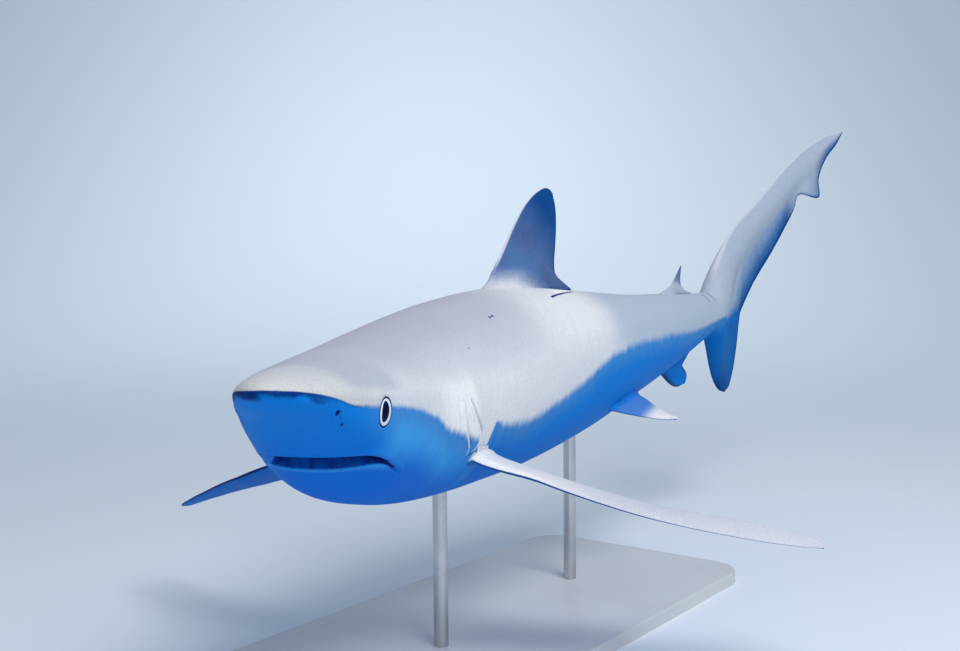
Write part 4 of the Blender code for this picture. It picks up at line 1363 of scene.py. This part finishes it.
class Wiring:
    """A node tree being filled: each method adds nodes and returns their main output."""

    def __init__(self, tree: bpy.types.NodeTree) -> None:
        """Starts on an emptied tree."""
        self.tree = tree
        tree.nodes.clear()

    def node(self, kind: str, **settings: object) -> bpy.types.Node:
        """A new node with its settings."""
        made = self.tree.nodes.new(kind)
        for key, value in settings.items():
            setattr(made, key, value)
        return made

    def plug(self, target: Socket, value: object) -> None:
        """Links a socket into another, or sets it to a number or a colour."""
        if isinstance(value, Socket):
            self.tree.links.new(value, target)
        elif isinstance(value, tuple):
            target.default_value = (*value, 1.0)
        else:
            target.default_value = value

    def math(
        self, operation: str, a: object, b: object = 0.0, c: object = 0.0, clamp: bool = False
    ) -> Socket:
        """One sum."""
        made = self.node("ShaderNodeMath", operation=operation, use_clamp=clamp)
        for socket, value in zip(made.inputs, (a, b, c)):
            self.plug(socket, value)
        return made.outputs[0]

    def times(self, first: object, *others: object) -> object:
        """The product of one or more numbers."""
        for other in others:
            first = self.math("MULTIPLY", first, other)
        return first

    def step(self, value: object, low: object, high: object) -> Socket:
        """A smooth step from 0 at low to 1 at high."""
        made = self.node("ShaderNodeMapRange", interpolation_type="SMOOTHSTEP")
        for name, number in (("Value", value), ("From Min", low), ("From Max", high)):
            self.plug(made.inputs[name], number)
        return made.outputs["Result"]

    def fade(self, value: object, low: object, high: object) -> Socket:
        """A smooth step from 1 at low to 0 at high."""
        return self.math("SUBTRACT", 1.0, self.step(value, low, high))

    def band(self, value: object, begun: float, full: float, held: float, over: float) -> Socket:
        """1 from full to held, with smooth steps from 0 where it has begun and to 0 where it is over."""
        return self.times(self.step(value, begun, full), self.fade(value, held, over))

    def blend(self, share: object, a: object, b: object) -> Socket:
        """A mix of two colours."""
        made = self.node("ShaderNodeMix", data_type="RGBA")
        sockets = [s for s in made.inputs if s.type == "RGBA"]
        self.plug(made.inputs[0], share)
        for socket, value in zip(sockets, (a, b)):
            self.plug(socket, value)
        return next(s for s in made.outputs if s.type == "RGBA")

    def over(self, colour: object, coat: object, *shares: object) -> Socket:
        """A colour with another laid over it, by the product of shares."""
        return self.blend(self.times(*shares), colour, coat)

    def noise(
        self, where: object, scale: object, detail: float, stretch: tuple | None = None, rough: float = 0.5
    ) -> Socket:
        """A noise from 0 to 1 over a place, which may be stretched first."""
        if stretch is not None:
            mapping = self.node("ShaderNodeMapping")
            self.plug(mapping.inputs["Vector"], where)
            mapping.inputs["Scale"].default_value = stretch
            where = mapping.outputs[0]
        made = self.node("ShaderNodeTexNoise")
        for name, value in (("Vector", where), ("Scale", scale), ("Detail", detail), ("Roughness", rough)):
            self.plug(made.inputs[name], value)
        return made.outputs["Fac"]

    def curve(self, value: object, points: Points) -> Socket:
        """A float curve from 0 to 1 through points."""
        made = self.node("ShaderNodeFloatCurve")
        line = made.mapping.curves[0]
        for place, point in zip(line.points, points):
            place.location = point
        for x, y in points[2:]:
            line.points.new(x, y)
        made.mapping.update()
        self.plug(made.inputs["Value"], value)
        return made.outputs[0]

    def swing(self, noise: object, width: float, middle: float = 0.0) -> Socket:
        """A noise's 0 to 1 spread over a width about a middle."""
        return self.math("MULTIPLY_ADD", noise, width, middle - width / 2)

    def dithered(self, share: object, noise: object) -> Socket:
        """A share made uneven by a noise where it is neither 0 nor 1."""
        half = self.times(share, self.math("SUBTRACT", 1.0, share), 4.0)
        return self.math("MULTIPLY_ADD", half, noise, share, clamp=True)

    def attribute(self, name: str, vector: bool = True) -> Socket:
        """What a piece's points store under a name."""
        made = self.node("ShaderNodeAttribute", attribute_name=name)
        return made.outputs["Vector" if vector else "Fac"]

    def parts(self, vector: Socket) -> list[Socket]:
        """A vector's three numbers."""
        made = self.node("ShaderNodeSeparateXYZ")
        self.plug(made.inputs[0], vector)
        return list(made.outputs)

    def objects_own(self) -> Socket:
        """Object coordinates."""
        return self.node("ShaderNodeTexCoord").outputs["Object"]

    def finish(
        self, colour: object, rough: object, height: object = None, distance: float = 0.001,
        strength: float = 1.0, **fixed: float,
    ) -> None:
        """The Principled shader, with a bump from a height if there is one, and with other inputs fixed by
        their names, where _ stands for a space."""
        shader = self.node("ShaderNodeBsdfPrincipled")
        self.plug(shader.inputs["Base Color"], colour)
        self.plug(shader.inputs["Roughness"], rough)
        for key, value in fixed.items():
            shader.inputs[key.replace("_", " ")].default_value = value
        if height is not None:
            bump = self.node("ShaderNodeBump")
            for name, value in (("Distance", distance), ("Strength", strength), ("Height", height)):
                self.plug(bump.inputs[name], value)
            self.plug(shader.inputs["Normal"], bump.outputs[0])
        out = self.node("ShaderNodeOutputMaterial")
        self.plug(out.inputs["Surface"], shader.outputs[0])


def grain_group() -> bpy.types.NodeTree:
    """A shared effect: cloudy blotches and a fine grain over object coordinates, by its sizes."""
    found = bpy.data.node_groups.get("grain")
    if found:
        return found
    group = bpy.data.node_groups.new("grain", "ShaderNodeTree")
    wiring = Wiring(group)
    for name, start in (("Blotch Scale", 8.0), ("Grain Scale", 900.0)):
        socket = group.interface.new_socket(name=name, in_out="INPUT", socket_type="NodeSocketFloat")
        socket.default_value = start
    for name in ("Blotch", "Grain"):
        group.interface.new_socket(name=name, in_out="OUTPUT", socket_type="NodeSocketFloat")
    ins = wiring.node("NodeGroupInput")
    outs = wiring.node("NodeGroupOutput")
    where = wiring.objects_own()
    for size, name, detail in (("Blotch Scale", "Blotch", 3.0), ("Grain Scale", "Grain", 1.5)):
        wiring.plug(outs.inputs[name], wiring.noise(where, ins.outputs[size], detail))
    return group


class Finish:
    """A finish: its wiring is made by the paint method of each kind."""

    name: str = "finish"

    def make(self) -> bpy.types.Material:
        """The finish's material, wired."""
        material = bpy.data.materials.new(self.name)
        material.use_nodes = True
        self.paint(Wiring(material.node_tree))
        return material

    def paint(self, wiring: Wiring) -> None:
        """Wires the finish, in each kind of its own way."""
        raise NotImplementedError

    @staticmethod
    def grain(wiring: Wiring, blotch: float, grain: float) -> tuple[Socket, Socket]:
        """The shared grain group's blotch and grain at sizes of its own."""
        made = wiring.node("ShaderNodeGroup", node_tree=grain_group())
        made.inputs["Blotch Scale"].default_value = blotch
        made.inputs["Grain Scale"].default_value = grain
        return made.outputs["Blotch"], made.outputs["Grain"]


class Readings:
    """What the hide's paint is worked out from: what the skin's points store, and three noises."""

    def __init__(self, wiring: Wiring) -> None:
        """Adds the nodes that read them."""
        self.straight = wiring.attribute("straight")
        self.along, self.left, self.up = wiring.parts(self.straight)
        self.slate, self.rim, self.forced = wiring.parts(wiring.attribute("paint"))
        self.opening, self.fold, self.ridge = wiring.parts(wiring.attribute("marks"))
        self.past_upper, self.past_lower, _ = wiring.parts(wiring.attribute("lips"))
        self.girth = wiring.attribute("girth", vector=False)  # -1 at the belly to 1 on top of the back
        self.streaks = wiring.noise(self.straight, 42.0, 5.0, stretch=(4.0, 1.3, 1.3), rough=0.62)
        self.broad = wiring.noise(self.straight, 22.0, 2.0)
        self.mottle = wiring.noise(wiring.objects_own(), 260.0, 4.0, rough=0.65)


@dataclass(frozen=True)
class SkinFinish(Finish):
    """The hide: pale lavender grey above a ragged line that is also the painted edge of light and shade, and
    blue below it, partly the flanks' own blue and partly painted shade; slate on the back's fins.
    """

    name: str = "shark_hide"
    back: Colour = (0.43, 0.44, 0.51)
    flank: Colour = (0.60, 0.625, 0.68)
    warm: Colour = (0.57, 0.575, 0.585)
    brow: Colour = (0.63, 0.65, 0.69)
    # painted shade ahead of the eye
    shade_by_eye: Colour = (0.33, 0.38, 0.46)
    far: Colour = (0.44, 0.51, 0.61)
    # painted highlight on the low flank, the back behind its fin and beside the slit
    painted_highlight: Colour = (0.92, 0.91, 0.885)
    cream: Colour = (0.58, 0.575, 0.57)
    speck: Colour = (0.20, 0.19, 0.20)
    # the blues under the line: the flanks' own blue and painted shade, blue light on a white belly
    blue: Colour = (0.001, 0.195, 0.66)
    # a deeper painted shade on the chin and belly
    blue_deeper_shade: Colour = (0.001, 0.145, 0.64)
    # a painted highlight on the cheek, and the lower lip's paler roll
    blue_pale: Colour = (0.050, 0.36, 0.78)
    # the back's grey in painted shade, just under the line
    grey_in_shade: Colour = (0.060, 0.25, 0.58)
    slate: Colour = (0.010, 0.115, 0.35)
    slate_dark: Colour = (0.001, 0.045, 0.20)
    slate_pale: Colour = (0.030, 0.17, 0.43)
    # navy: scratches and pores, and painted shade in folds, openings, slits and under the snout's edge
    navy: Colour = (0.001, 0.012, 0.14)
    gullet: Colour = (0.002, 0.090, 0.45)
    # a painted highlight on lit fin edges and tops, and on ridges
    rim: Colour = (0.78, 0.77, 0.80)
    # where the line between back and belly lies, which is also the painted edge of light and shade: along, up
    line: Points = (
        (0.000, 0.0022), (0.015, 0.0019), (0.034, 0.0000), (0.062, -0.0042), (0.105, -0.0042),
        (0.155, -0.0105), (0.180, -0.0193), (0.196, -0.0236), (0.215, -0.0275), (0.240, -0.0320),
        (0.2435, -0.0450), (0.250, -0.0475), (0.257, -0.0440), (0.2605, -0.0240), (0.283, -0.0283),
        (0.314, -0.0315), (0.368, -0.0226), (0.410, -0.0140), (0.444, -0.0026), (0.476, 0.0028),
        (0.525, 0.0055), (0.596, 0.0035), (0.645, -0.0003), (0.693, -0.0025), (0.754, -0.0038),
        (0.768, -0.0500), (1.000, -0.0500),
    )
    line_reach: float = 0.05  # the line is never farther than this from the axis
    # how far the change at the line is spread, in hundredths of the length
    soft: Points = (
        (0.000, 0.04), (0.050, 0.06), (0.068, 0.18), (0.100, 0.18), (0.150, 0.24), (0.235, 0.32),
        (0.245, 0.14), (0.260, 0.14), (0.280, 0.42), (0.450, 0.40), (0.600, 0.42), (0.700, 0.28),
        (1.000, 0.20),
    )
    # painted highlight on the low flank, along lines that lean as the gills do
    flank_highlight: Points = (
        (0.00, 0.00), (0.12, 0.00), (0.18, 0.75), (0.216, 0.90), (0.227, 0.38), (0.26, 0.45), (0.32, 0.32),
        (0.45, 0.15), (0.55, 0.00), (1.00, 0.00),
    )
    flank_highlight_lean: float = 0.55  # how far along such a line goes for each unit down
    # painted highlight on the back behind its fin
    crest_highlight: Points = ((0.00, 0.00), (0.31, 0.00), (0.39, 0.42), (0.43, 0.45), (0.50, 0.00), (1.00, 0.00))
    # how dark the top of the back is
    shade: Points = (
        (0.00, 0.15), (0.05, 0.45), (0.12, 0.85), (0.26, 0.95), (0.38, 0.45), (0.55, 0.15), (1.00, 0.15),
    )
    # short dark scratches on the left flank: from and to, each along and up
    scratches: tuple[Points, ...] = (
        ((0.2345, 0.0247), (0.2352, 0.0245)),
        ((0.2930, 0.0399), (0.2957, 0.0402)),
        ((0.2972, 0.0404), (0.3005, 0.0408)),
    )
    scratch_fade: float = 0.0005  # how much of the length a scratch fades over at each end
    # the slit on the back: its distance from the middle if it began at the snout, and how that changes along
    slit_start: float = 0.1370
    slit_slope: float = -0.276

    def paint(self, wiring: Wiring) -> None:
        """Wires the hide: the line by place along the body, then the fins' faces, marks and shagreen."""
        at = Readings(wiring)
        blotch, grain = self.grain(wiring, 9.0, 1500.0)

        # a float curve holds heights from -line_reach to line_reach as 0 to 1
        span = 2 * self.line_reach
        height = wiring.curve(at.along, tuple((x, y / span + 0.5) for x, y in self.line))
        height = wiring.math("MULTIPLY_ADD", height, span, -self.line_reach)
        soft = wiring.times(wiring.curve(at.along, self.soft), 0.01)
        ragged = wiring.math("ADD", wiring.swing(at.streaks, 2.8), wiring.swing(at.broad, 1.1))
        above = wiring.math("MULTIPLY_ADD", ragged, soft, wiring.math("SUBTRACT", at.up, height))
        under = wiring.math("ADD", wiring.fade(above, wiring.times(soft, -1.0), soft), at.forced, clamp=True)

        back = self.above_line(wiring, at, above)
        back = self.slit_shadow_and_highlight(wiring, at, back)
        back = self.scratched(wiring, at, back)
        # below the line: partly the flanks' own blue, partly painted shade
        blue = self.below_line(wiring, at, above)
        colour = wiring.over(back, blue, wiring.dithered(under, wiring.swing(at.streaks, 0.9)))
        face = wiring.blend(wiring.step(blotch, 0.30, 0.75), self.slate, self.slate_dark)
        face = wiring.over(face, self.slate_pale, wiring.step(at.mottle, 0.45, 0.75), 0.30)
        face = wiring.over(face, self.slate_dark, wiring.step(at.slate, 0.91, 1.0), 0.75)
        colour = wiring.over(colour, face, wiring.dithered(at.slate, wiring.swing(at.mottle, 0.45)))
        # pale rims: painted highlight on lit fin edges and tops
        colour = wiring.over(colour, self.rim, at.rim)
        colour = wiring.over(colour, self.slate, wiring.step(at.mottle, 0.42, 0.70), 0.12)
        # pale ridges: painted highlight
        colour = wiring.over(colour, self.rim, wiring.step(at.ridge, -0.7, 0.5), 0.85)
        # navy folds: painted shade in creases and slits, and the fins' dark edges
        colour = wiring.over(colour, self.navy, wiring.step(at.fold, -0.6, 0.7), 0.92)
        colour = self.lips(wiring, at, colour)

        rough = wiring.math("MULTIPLY_ADD", grain, 0.14, 0.46)
        shagreen = wiring.math("ADD", wiring.times(grain, 0.25), wiring.times(at.mottle, 0.3))
        wiring.finish(colour, rough, shagreen, distance=0.0008, strength=0.35, Specular_IOR_Level=0.04)

    def above_line(self, wiring: Wiring, at: Readings, above: Socket) -> Socket:
        """The back's colour: darkest on top, with painted highlights by the gills and behind the fin and
        painted shade ahead of the eye, creamy and specked by the snout's edge.

        Args:
            wiring: The material's wiring.
            at: What the paint reads.
            above: Height over the line between back and belly.
        """
        pale = wiring.blend(wiring.step(at.along, 0.05, 0.11), self.warm, self.brow)
        pale = wiring.over(pale, self.flank, wiring.step(at.along, 0.14, 0.27))
        pale = wiring.over(pale, self.far, wiring.step(at.along, 0.44, 0.50))
        # a painted shade over the snout ahead of the eye
        shade_by_eye_patch = wiring.band(at.along, 0.045, 0.065, 0.095, 0.118)
        pale = wiring.over(pale, self.shade_by_eye, shade_by_eye_patch, wiring.step(at.girth, 0.05, 0.40), 0.65)
        top = wiring.times(wiring.step(at.girth, 0.05, 0.95), wiring.curve(at.along, self.shade))
        colour = wiring.over(pale, self.back, wiring.math("ADD", top, wiring.swing(at.broad, 0.30)))
        # painted highlights on the low flank and on the back behind its fin
        low = wiring.math("SUBTRACT", wiring.step(at.girth, -1.0, -0.75), wiring.step(at.girth, -0.05, 0.40))
        leaned = wiring.math("MULTIPLY_ADD", at.up, self.flank_highlight_lean, at.along)
        flank_highlight = wiring.times(low, wiring.curve(leaned, self.flank_highlight))
        crest_highlight = wiring.times(wiring.step(at.girth, 0.05, 0.45), wiring.curve(at.along, self.crest_highlight))
        for light in (flank_highlight, crest_highlight):
            colour = wiring.over(colour, self.painted_highlight, wiring.dithered(light, wiring.swing(at.streaks, 0.4)))
        snout_edge = wiring.times(wiring.fade(above, 0.001, 0.012), wiring.fade(at.along, 0.05, 0.10))
        colour = wiring.over(colour, self.cream, snout_edge, 0.9)
        specks = wiring.step(wiring.noise(wiring.objects_own(), 620.0, 3.0), 0.54, 0.72)
        return wiring.over(colour, self.speck, specks, snout_edge, 0.45)

    def scratched(self, wiring: Wiring, at: Readings, colour: Socket) -> Socket:
        """The few short dark scratches on the left flank, each a straight line between two places."""
        on_left = wiring.step(at.left, 0.001, 0.003)
        for (start, low), (end, high) in self.scratches:
            slope = (high - low) / (end - start)
            level = wiring.math("MULTIPLY_ADD", at.along, -slope, at.up)
            off = wiring.math("ABSOLUTE", wiring.math("SUBTRACT", level, low - slope * start))
            length = wiring.band(at.along, start - self.scratch_fade, start, end, end + self.scratch_fade)
            colour = wiring.over(colour, self.navy, wiring.fade(off, 0.0003, 0.0008), length, on_left, 0.8)
        return colour

    def slit_shadow_and_highlight(self, wiring: Wiring, at: Readings, colour: Socket) -> Socket:
        """The painted shadow of the slit below the first dorsal fin's rear tip, a straight dark line on the
        back, and a painted highlight between it and the fin."""
        aside = wiring.math("ABSOLUTE", at.left)
        slit_at = wiring.math("MULTIPLY_ADD", at.along, self.slit_slope, self.slit_start)
        out = wiring.math("SUBTRACT", aside, slit_at)
        on_top = wiring.times(wiring.step(at.girth, 0.4, 0.6), wiring.step(aside, 0.0050, 0.0065))
        # a painted highlight between the slit and the fin
        patch = wiring.band(at.along, 0.4120, 0.4300, 0.4480, 0.4640)
        colour = wiring.over(colour, self.painted_highlight, on_top, patch, wiring.fade(out, -0.0015, 0.0000))
        # the slit's painted shadow
        line = wiring.fade(wiring.math("ABSOLUTE", out), 0.0005, 0.0013)
        length = wiring.band(at.along, 0.4030, 0.4050, 0.450, 0.470)
        return wiring.over(colour, self.navy, line, length, on_top)

    def below_line(self, wiring: Wiring, at: Readings, above: Socket) -> Socket:
        """The underside's blue, partly painted shade: the back's grey in painted shade by the line, a painted
        highlight on the cheek, deeper painted shade on the chin and belly, and navy painted shade in blotches
        and a band under the snout's edge.

        Args:
            wiring: The material's wiring.
            at: What the paint reads.
            above: Height over the line between back and belly.
        """
        behind_chin = wiring.times(wiring.step(at.along, 0.18, 0.34), 0.8)
        # deeper painted shade farther below the line, on the chin and belly
        deeper_shade = wiring.times(wiring.fade(above, -0.044, -0.004), wiring.math("SUBTRACT", 1.0, behind_chin))
        colour = wiring.blend(deeper_shade, self.blue, self.blue_deeper_shade)
        # a painted highlight on the cheek
        cheek_highlight = wiring.band(at.along, 0.080, 0.110, 0.19, 0.27)
        height = wiring.band(above, -0.036, -0.015, -0.011, -0.001)
        colour = wiring.over(colour, self.blue_pale, cheek_highlight, height, wiring.swing(at.broad, 0.9, 0.80))
        # the back's grey in painted shade, just under the line
        grey_shade_by_line = wiring.times(wiring.step(above, -0.020, 0.000), wiring.step(at.along, 0.055, 0.10))
        grey_shade_by_line = wiring.times(grey_shade_by_line, wiring.fade(at.forced, 0.4, 0.9), 0.85)
        grey_shade_by_line = wiring.dithered(grey_shade_by_line, wiring.swing(at.streaks, 0.7))
        colour = wiring.over(colour, self.grey_in_shade, grey_shade_by_line)
        uneven = wiring.swing(wiring.noise(at.straight, 75.0, 3.0), 0.012)
        # navy blotches under the snout's edge: painted shade
        snout_shade_blotches = wiring.step(wiring.math("ADD", above, uneven), -0.0050, -0.0015)
        colour = wiring.over(colour, self.navy, snout_shade_blotches, wiring.fade(at.along, 0.012, 0.050), 0.90)
        # a thin navy band under the line on the snout: painted shade
        shade_under_line = wiring.step(above, -0.0022, 0.0003)
        return wiring.over(colour, self.navy, shade_under_line, wiring.fade(at.along, 0.06, 0.09), 0.55)

    def lips(self, wiring: Wiring, at: Readings, colour: Socket) -> Socket:
        """The openings' navy, painted shade in the hollows, bluer far behind the upper lip, and the lower
        lip's paler roll with a few pores."""
        cloudy = wiring.noise(wiring.objects_own(), 95.0, 3.0)
        far_in = wiring.times(wiring.step(at.past_upper, 2.5, 11.0), wiring.swing(cloudy, 1.6, 0.5))
        # the openings' colour: painted shade, darkest under the upper lip
        inner = wiring.over(self.navy, self.gullet, far_in)
        roll = wiring.band(at.past_lower, -0.5, 2.5, 4.0, 14.0)
        roll = wiring.times(roll, wiring.fade(at.along, 0.098, 0.112))
        colour = wiring.over(colour, self.blue_pale, roll, 0.45)
        pores = wiring.step(wiring.noise(wiring.objects_own(), 260.0, 1.0), 0.63, 0.70)
        colour = wiring.over(colour, self.navy, pores, roll, 0.55)
        return wiring.over(colour, inner, wiring.step(at.opening, -0.5, 0.5))


@dataclass(frozen=True)
class EyeFinish(Finish):
    """The eye: a tall navy-black pupil in a thin white ring, then a black edge under the lid, painted shade in
    the groove there.
    """

    name: str = "shark_eye"
    pupil: Colour = (0.0005, 0.001, 0.015)
    iris: Colour = (0.002, 0.010, 0.055)
    white: Colour = (0.70, 0.78, 0.88)
    # painted shade in the groove under the lid
    edge: Colour = (0.004, 0.006, 0.012)
    pupil_half: Pair = (0.52, 0.70)  # of the opening
    pupil_centre: Pair = (-0.20, 0.02)

    @staticmethod
    def oval(wiring: Wiring, place: tuple[Socket, Socket], centre: Pair, half: Pair) -> Socket:
        """How far a place is from an oval's centre, 1 on the oval: the root of the sum of two squares."""
        squares = []
        for number, middle, reach in zip(place, centre, half):
            part = wiring.math("DIVIDE", wiring.math("SUBTRACT", number, middle), reach)
            squares.append(wiring.times(part, part))
        return wiring.math("SQRT", wiring.math("ADD", *squares))

    def paint(self, wiring: Wiring) -> None:
        """Wires ovals by their place in the lids' opening: the pupil, then the white, then the black of the
        painted shade under the lid.
        """
        _, across, tall = wiring.parts(wiring.attribute("gaze"))
        pupil = self.oval(wiring, (across, tall), self.pupil_centre, self.pupil_half)
        ring = self.oval(wiring, (across, tall), (0.0, 0.0), (1.0, 1.0))
        colour = wiring.blend(wiring.step(pupil, 0.35, 0.85), self.pupil, self.iris)
        colour = wiring.over(colour, self.white, wiring.step(pupil, 0.95, 1.04))
        # the black edge: painted shade under the lid
        colour = wiring.over(colour, self.edge, wiring.step(ring, 0.86, 0.91))
        wiring.finish(colour, 0.12, Specular_IOR_Level=0.02, Coat_Weight=0.01, Coat_Roughness=0.03)


@dataclass(frozen=True)
class PaintedWood(Finish):
    """The stand's plate: satin pale grey paint with a faint orange-peel."""

    name: str = "pale_paint"
    colour: Colour = (0.60, 0.62, 0.64)
    shade: Colour = (0.55, 0.57, 0.60)

    def paint(self, wiring: Wiring) -> None:
        """Wires the paint's slow drift of tone and its fine peel."""
        blotch, grain = self.grain(wiring, 5.0, 340.0)
        colour = wiring.blend(wiring.step(blotch, 0.3, 0.7), self.colour, self.shade)
        rough = wiring.math("MULTIPLY_ADD", blotch, 0.12, 0.38)
        wiring.finish(colour, rough, grain, distance=0.0003, strength=0.35)


@dataclass(frozen=True)
class BrushedSteel(Finish):
    """The rods: steel brushed round, with fine lines across their length."""

    name: str = "brushed_steel"
    colour: Colour = (0.60, 0.61, 0.62)
    shade: Colour = (0.50, 0.51, 0.53)

    def paint(self, wiring: Wiring) -> None:
        """Wires fine rings along the rod's height as roughness and bump."""
        lines = wiring.noise(wiring.objects_own(), 900.0, 2.0, stretch=(0.02, 0.02, 1.0))
        blotch, _ = self.grain(wiring, 14.0, 800.0)
        colour = wiring.blend(wiring.step(blotch, 0.3, 0.75), self.colour, self.shade)
        rough = wiring.math("MULTIPLY_ADD", lines, 0.25, 0.20)
        wiring.finish(colour, rough, lines, distance=0.0002, strength=0.4, Metallic=1.0)


# ---- studio


@dataclass
class Studio:
    """A plain pale floor that curves up behind, soft lights, and the camera."""

    position: tuple[float, float, float] = (1.1262, -1.5531, 0.6464)
    heading: float = 36.82  # degrees that the camera is turned from +Y towards -X
    pitch: float = -4.61
    roll: float = -0.56
    lens: float = 44.78
    floor_colour: Colour = (0.74, 0.81, 0.88)
    level_to: float = 3.5  # how far out the floor is level, before it rises
    bend: float = 6.5  # the radius that it rises by
    wall: float = 14.0  # how high the wall goes, and half the floor's width

    def camera(self) -> None:
        """The camera, level but for its pitch and a slight roll."""
        data = bpy.data.cameras.new("camera")
        data.lens = self.lens
        data.sensor_width = 36.0
        data.clip_start, data.clip_end = 0.02, 60.0
        turned = linked("camera", data)
        turned.matrix_world = Matrix.Translation(self.position)
        for angle, axis in ((self.heading, "Z"), (90 + self.pitch, "X"), (self.roll, "Z")):
            turned.matrix_world = turned.matrix_world @ Matrix.Rotation(math.radians(angle), 4, axis)
        bpy.context.scene.camera = turned

    def floor(self) -> None:
        """A level floor whose far end rises in a quarter circle to a wall, as one smooth sheet."""
        heading = math.radians(self.heading)
        away = np.array([-math.sin(heading), math.cos(heading), 0.0])
        across = np.array([math.cos(heading), math.sin(heading), 0.0])
        bend = np.linspace(0, math.pi / 2, 24)
        level, upright = [-9.0, -3.0], [self.level_to + self.bend]
        out = np.concatenate([level, self.level_to + self.bend * np.sin(bend), upright])
        up = np.concatenate([[0.0, 0.0], self.bend * (1 - np.cos(bend)), [self.wall]])
        wide = np.linspace(-self.wall, self.wall, 8)
        rows = out[:, None] * away + up[:, None] * np.array([0, 0, 1.0])
        points = rows[:, None] + wide[:, None] * across
        grid = np.arange(len(out) * len(wide)).reshape(len(out), len(wide))
        faces = np.stack([grid[:-1, :-1], grid[:-1, 1:], grid[1:, 1:], grid[1:, :-1]], axis=-1).reshape(-1, 4)
        mesh = bpy.data.meshes.new("studio_floor")
        mesh.from_pydata(points.reshape(-1, 3).tolist(), [], faces.tolist())
        mesh.shade_smooth()
        made = linked("studio_floor", mesh)
        material = bpy.data.materials.new("studio_floor")
        material.use_nodes = True
        Wiring(material.node_tree).finish(self.floor_colour, 0.9)
        mesh.materials.append(material)

    @staticmethod
    def lamp(name: str, place: tuple, aim: tuple, size: float, power: float, colour: Colour) -> None:
        """A square soft light at a place, aimed at another."""
        data = bpy.data.lights.new(name, "AREA")
        data.shape = "SQUARE"
        data.size = size
        data.energy = power
        data.color = colour
        made = linked(name, data)
        made.location = place
        way = np.array(aim) - np.array(place)
        down = math.atan2(math.hypot(way[0], way[1]), -way[2])
        made.rotation_euler = (down, 0, math.atan2(way[1], way[0]) - math.pi / 2)

    def lights(self) -> None:
        """A large key above the back, a cool fill from ahead, a wash on the wall and a dim even world."""
        self.lamp("key", (1.8, -0.6, 2.8), (0.0, -0.1, 0.4), 1.5, 64.0, (1.0, 0.985, 0.97))
        self.lamp("fill", (3.0, -3.0, 1.2), (0.0, -0.2, 0.45), 2.4, 16.0, (0.86, 0.93, 1.0))
        self.lamp("wash", (-3.2, 3.6, 4.2), (-4.6, 6.2, 0.8), 3.0, 95.0, (0.93, 0.97, 1.0))
        world = bpy.data.worlds.new("studio")
        world.use_nodes = True
        shade = world.node_tree.nodes["Background"]
        shade.inputs["Color"].default_value = (0.78, 0.88, 1.0, 1.0)
        shade.inputs["Strength"].default_value = 0.50
        bpy.context.scene.world = world
        bpy.context.scene.view_settings.view_transform = "Standard"


class Flesh(Enum):
    """The CAD nodes that the skin stands for."""

    HEAD = "head"
    JAW = "lower_jaw"
    GILLS = "gill_region"
    FRONT = "trunk_front"
    MIDDLE = "trunk_middle"
    REAR = "trunk_rear"
    STEM = "tail_stem"
    TAIL_UPPER = "tail_fin_upper"
    TAIL_LOWER = "tail_fin_lower"
    DORSAL = "first_dorsal_fin"
    SECOND = "second_dorsal_fin"
    ANAL = "anal_fin"
    PECTORAL_LEFT = "pectoral_fin_left"
    PECTORAL_RIGHT = "pectoral_fin_right"
    PELVIC_LEFT = "pelvic_fin_left"
    PELVIC_RIGHT = "pelvic_fin_right"


def wear(piece: bpy.types.Object, finish: Finish, slot: str, *nodes: str) -> None:
    """Gives a new piece its finish, hides the nodes it stands for and attaches it to its body."""
    piece.data.materials.append(finish.make())
    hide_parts(*nodes)
    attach(piece, "root")


def main() -> None:
    """Builds the pieces in order, dresses the stand, and sets the studio."""
    logging.basicConfig(level=logging.INFO, format="%(message)s")
    spine, body = Spine(), Body()
    skin = Skin(spine, body).build()
    wear(skin, SkinFinish(), "skin", *(part.value for part in Flesh))
    for node, side in (("eye_left", 1), ("eye_right", -1)):
        ball = Eye(node + "_ball", side).build(spine, EyeSocket(), body)
        wear(ball, EyeFinish(), "eye", node)
        LOG.info("%s: %d points", ball.name, len(ball.data.vertices))
    stand = {"stand_base": PaintedWood(), "stand_rod_front": BrushedSteel(), "stand_rod_rear": BrushedSteel()}
    for node, finish in stand.items():
        material = finish.make()
        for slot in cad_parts[node].material_slots:
            slot.material = material
        LOG.info("%s: %s", node, finish.name)
    studio = Studio()
    studio.camera()
    studio.floor()
    studio.lights()


if __name__ == "__main__":
    main()
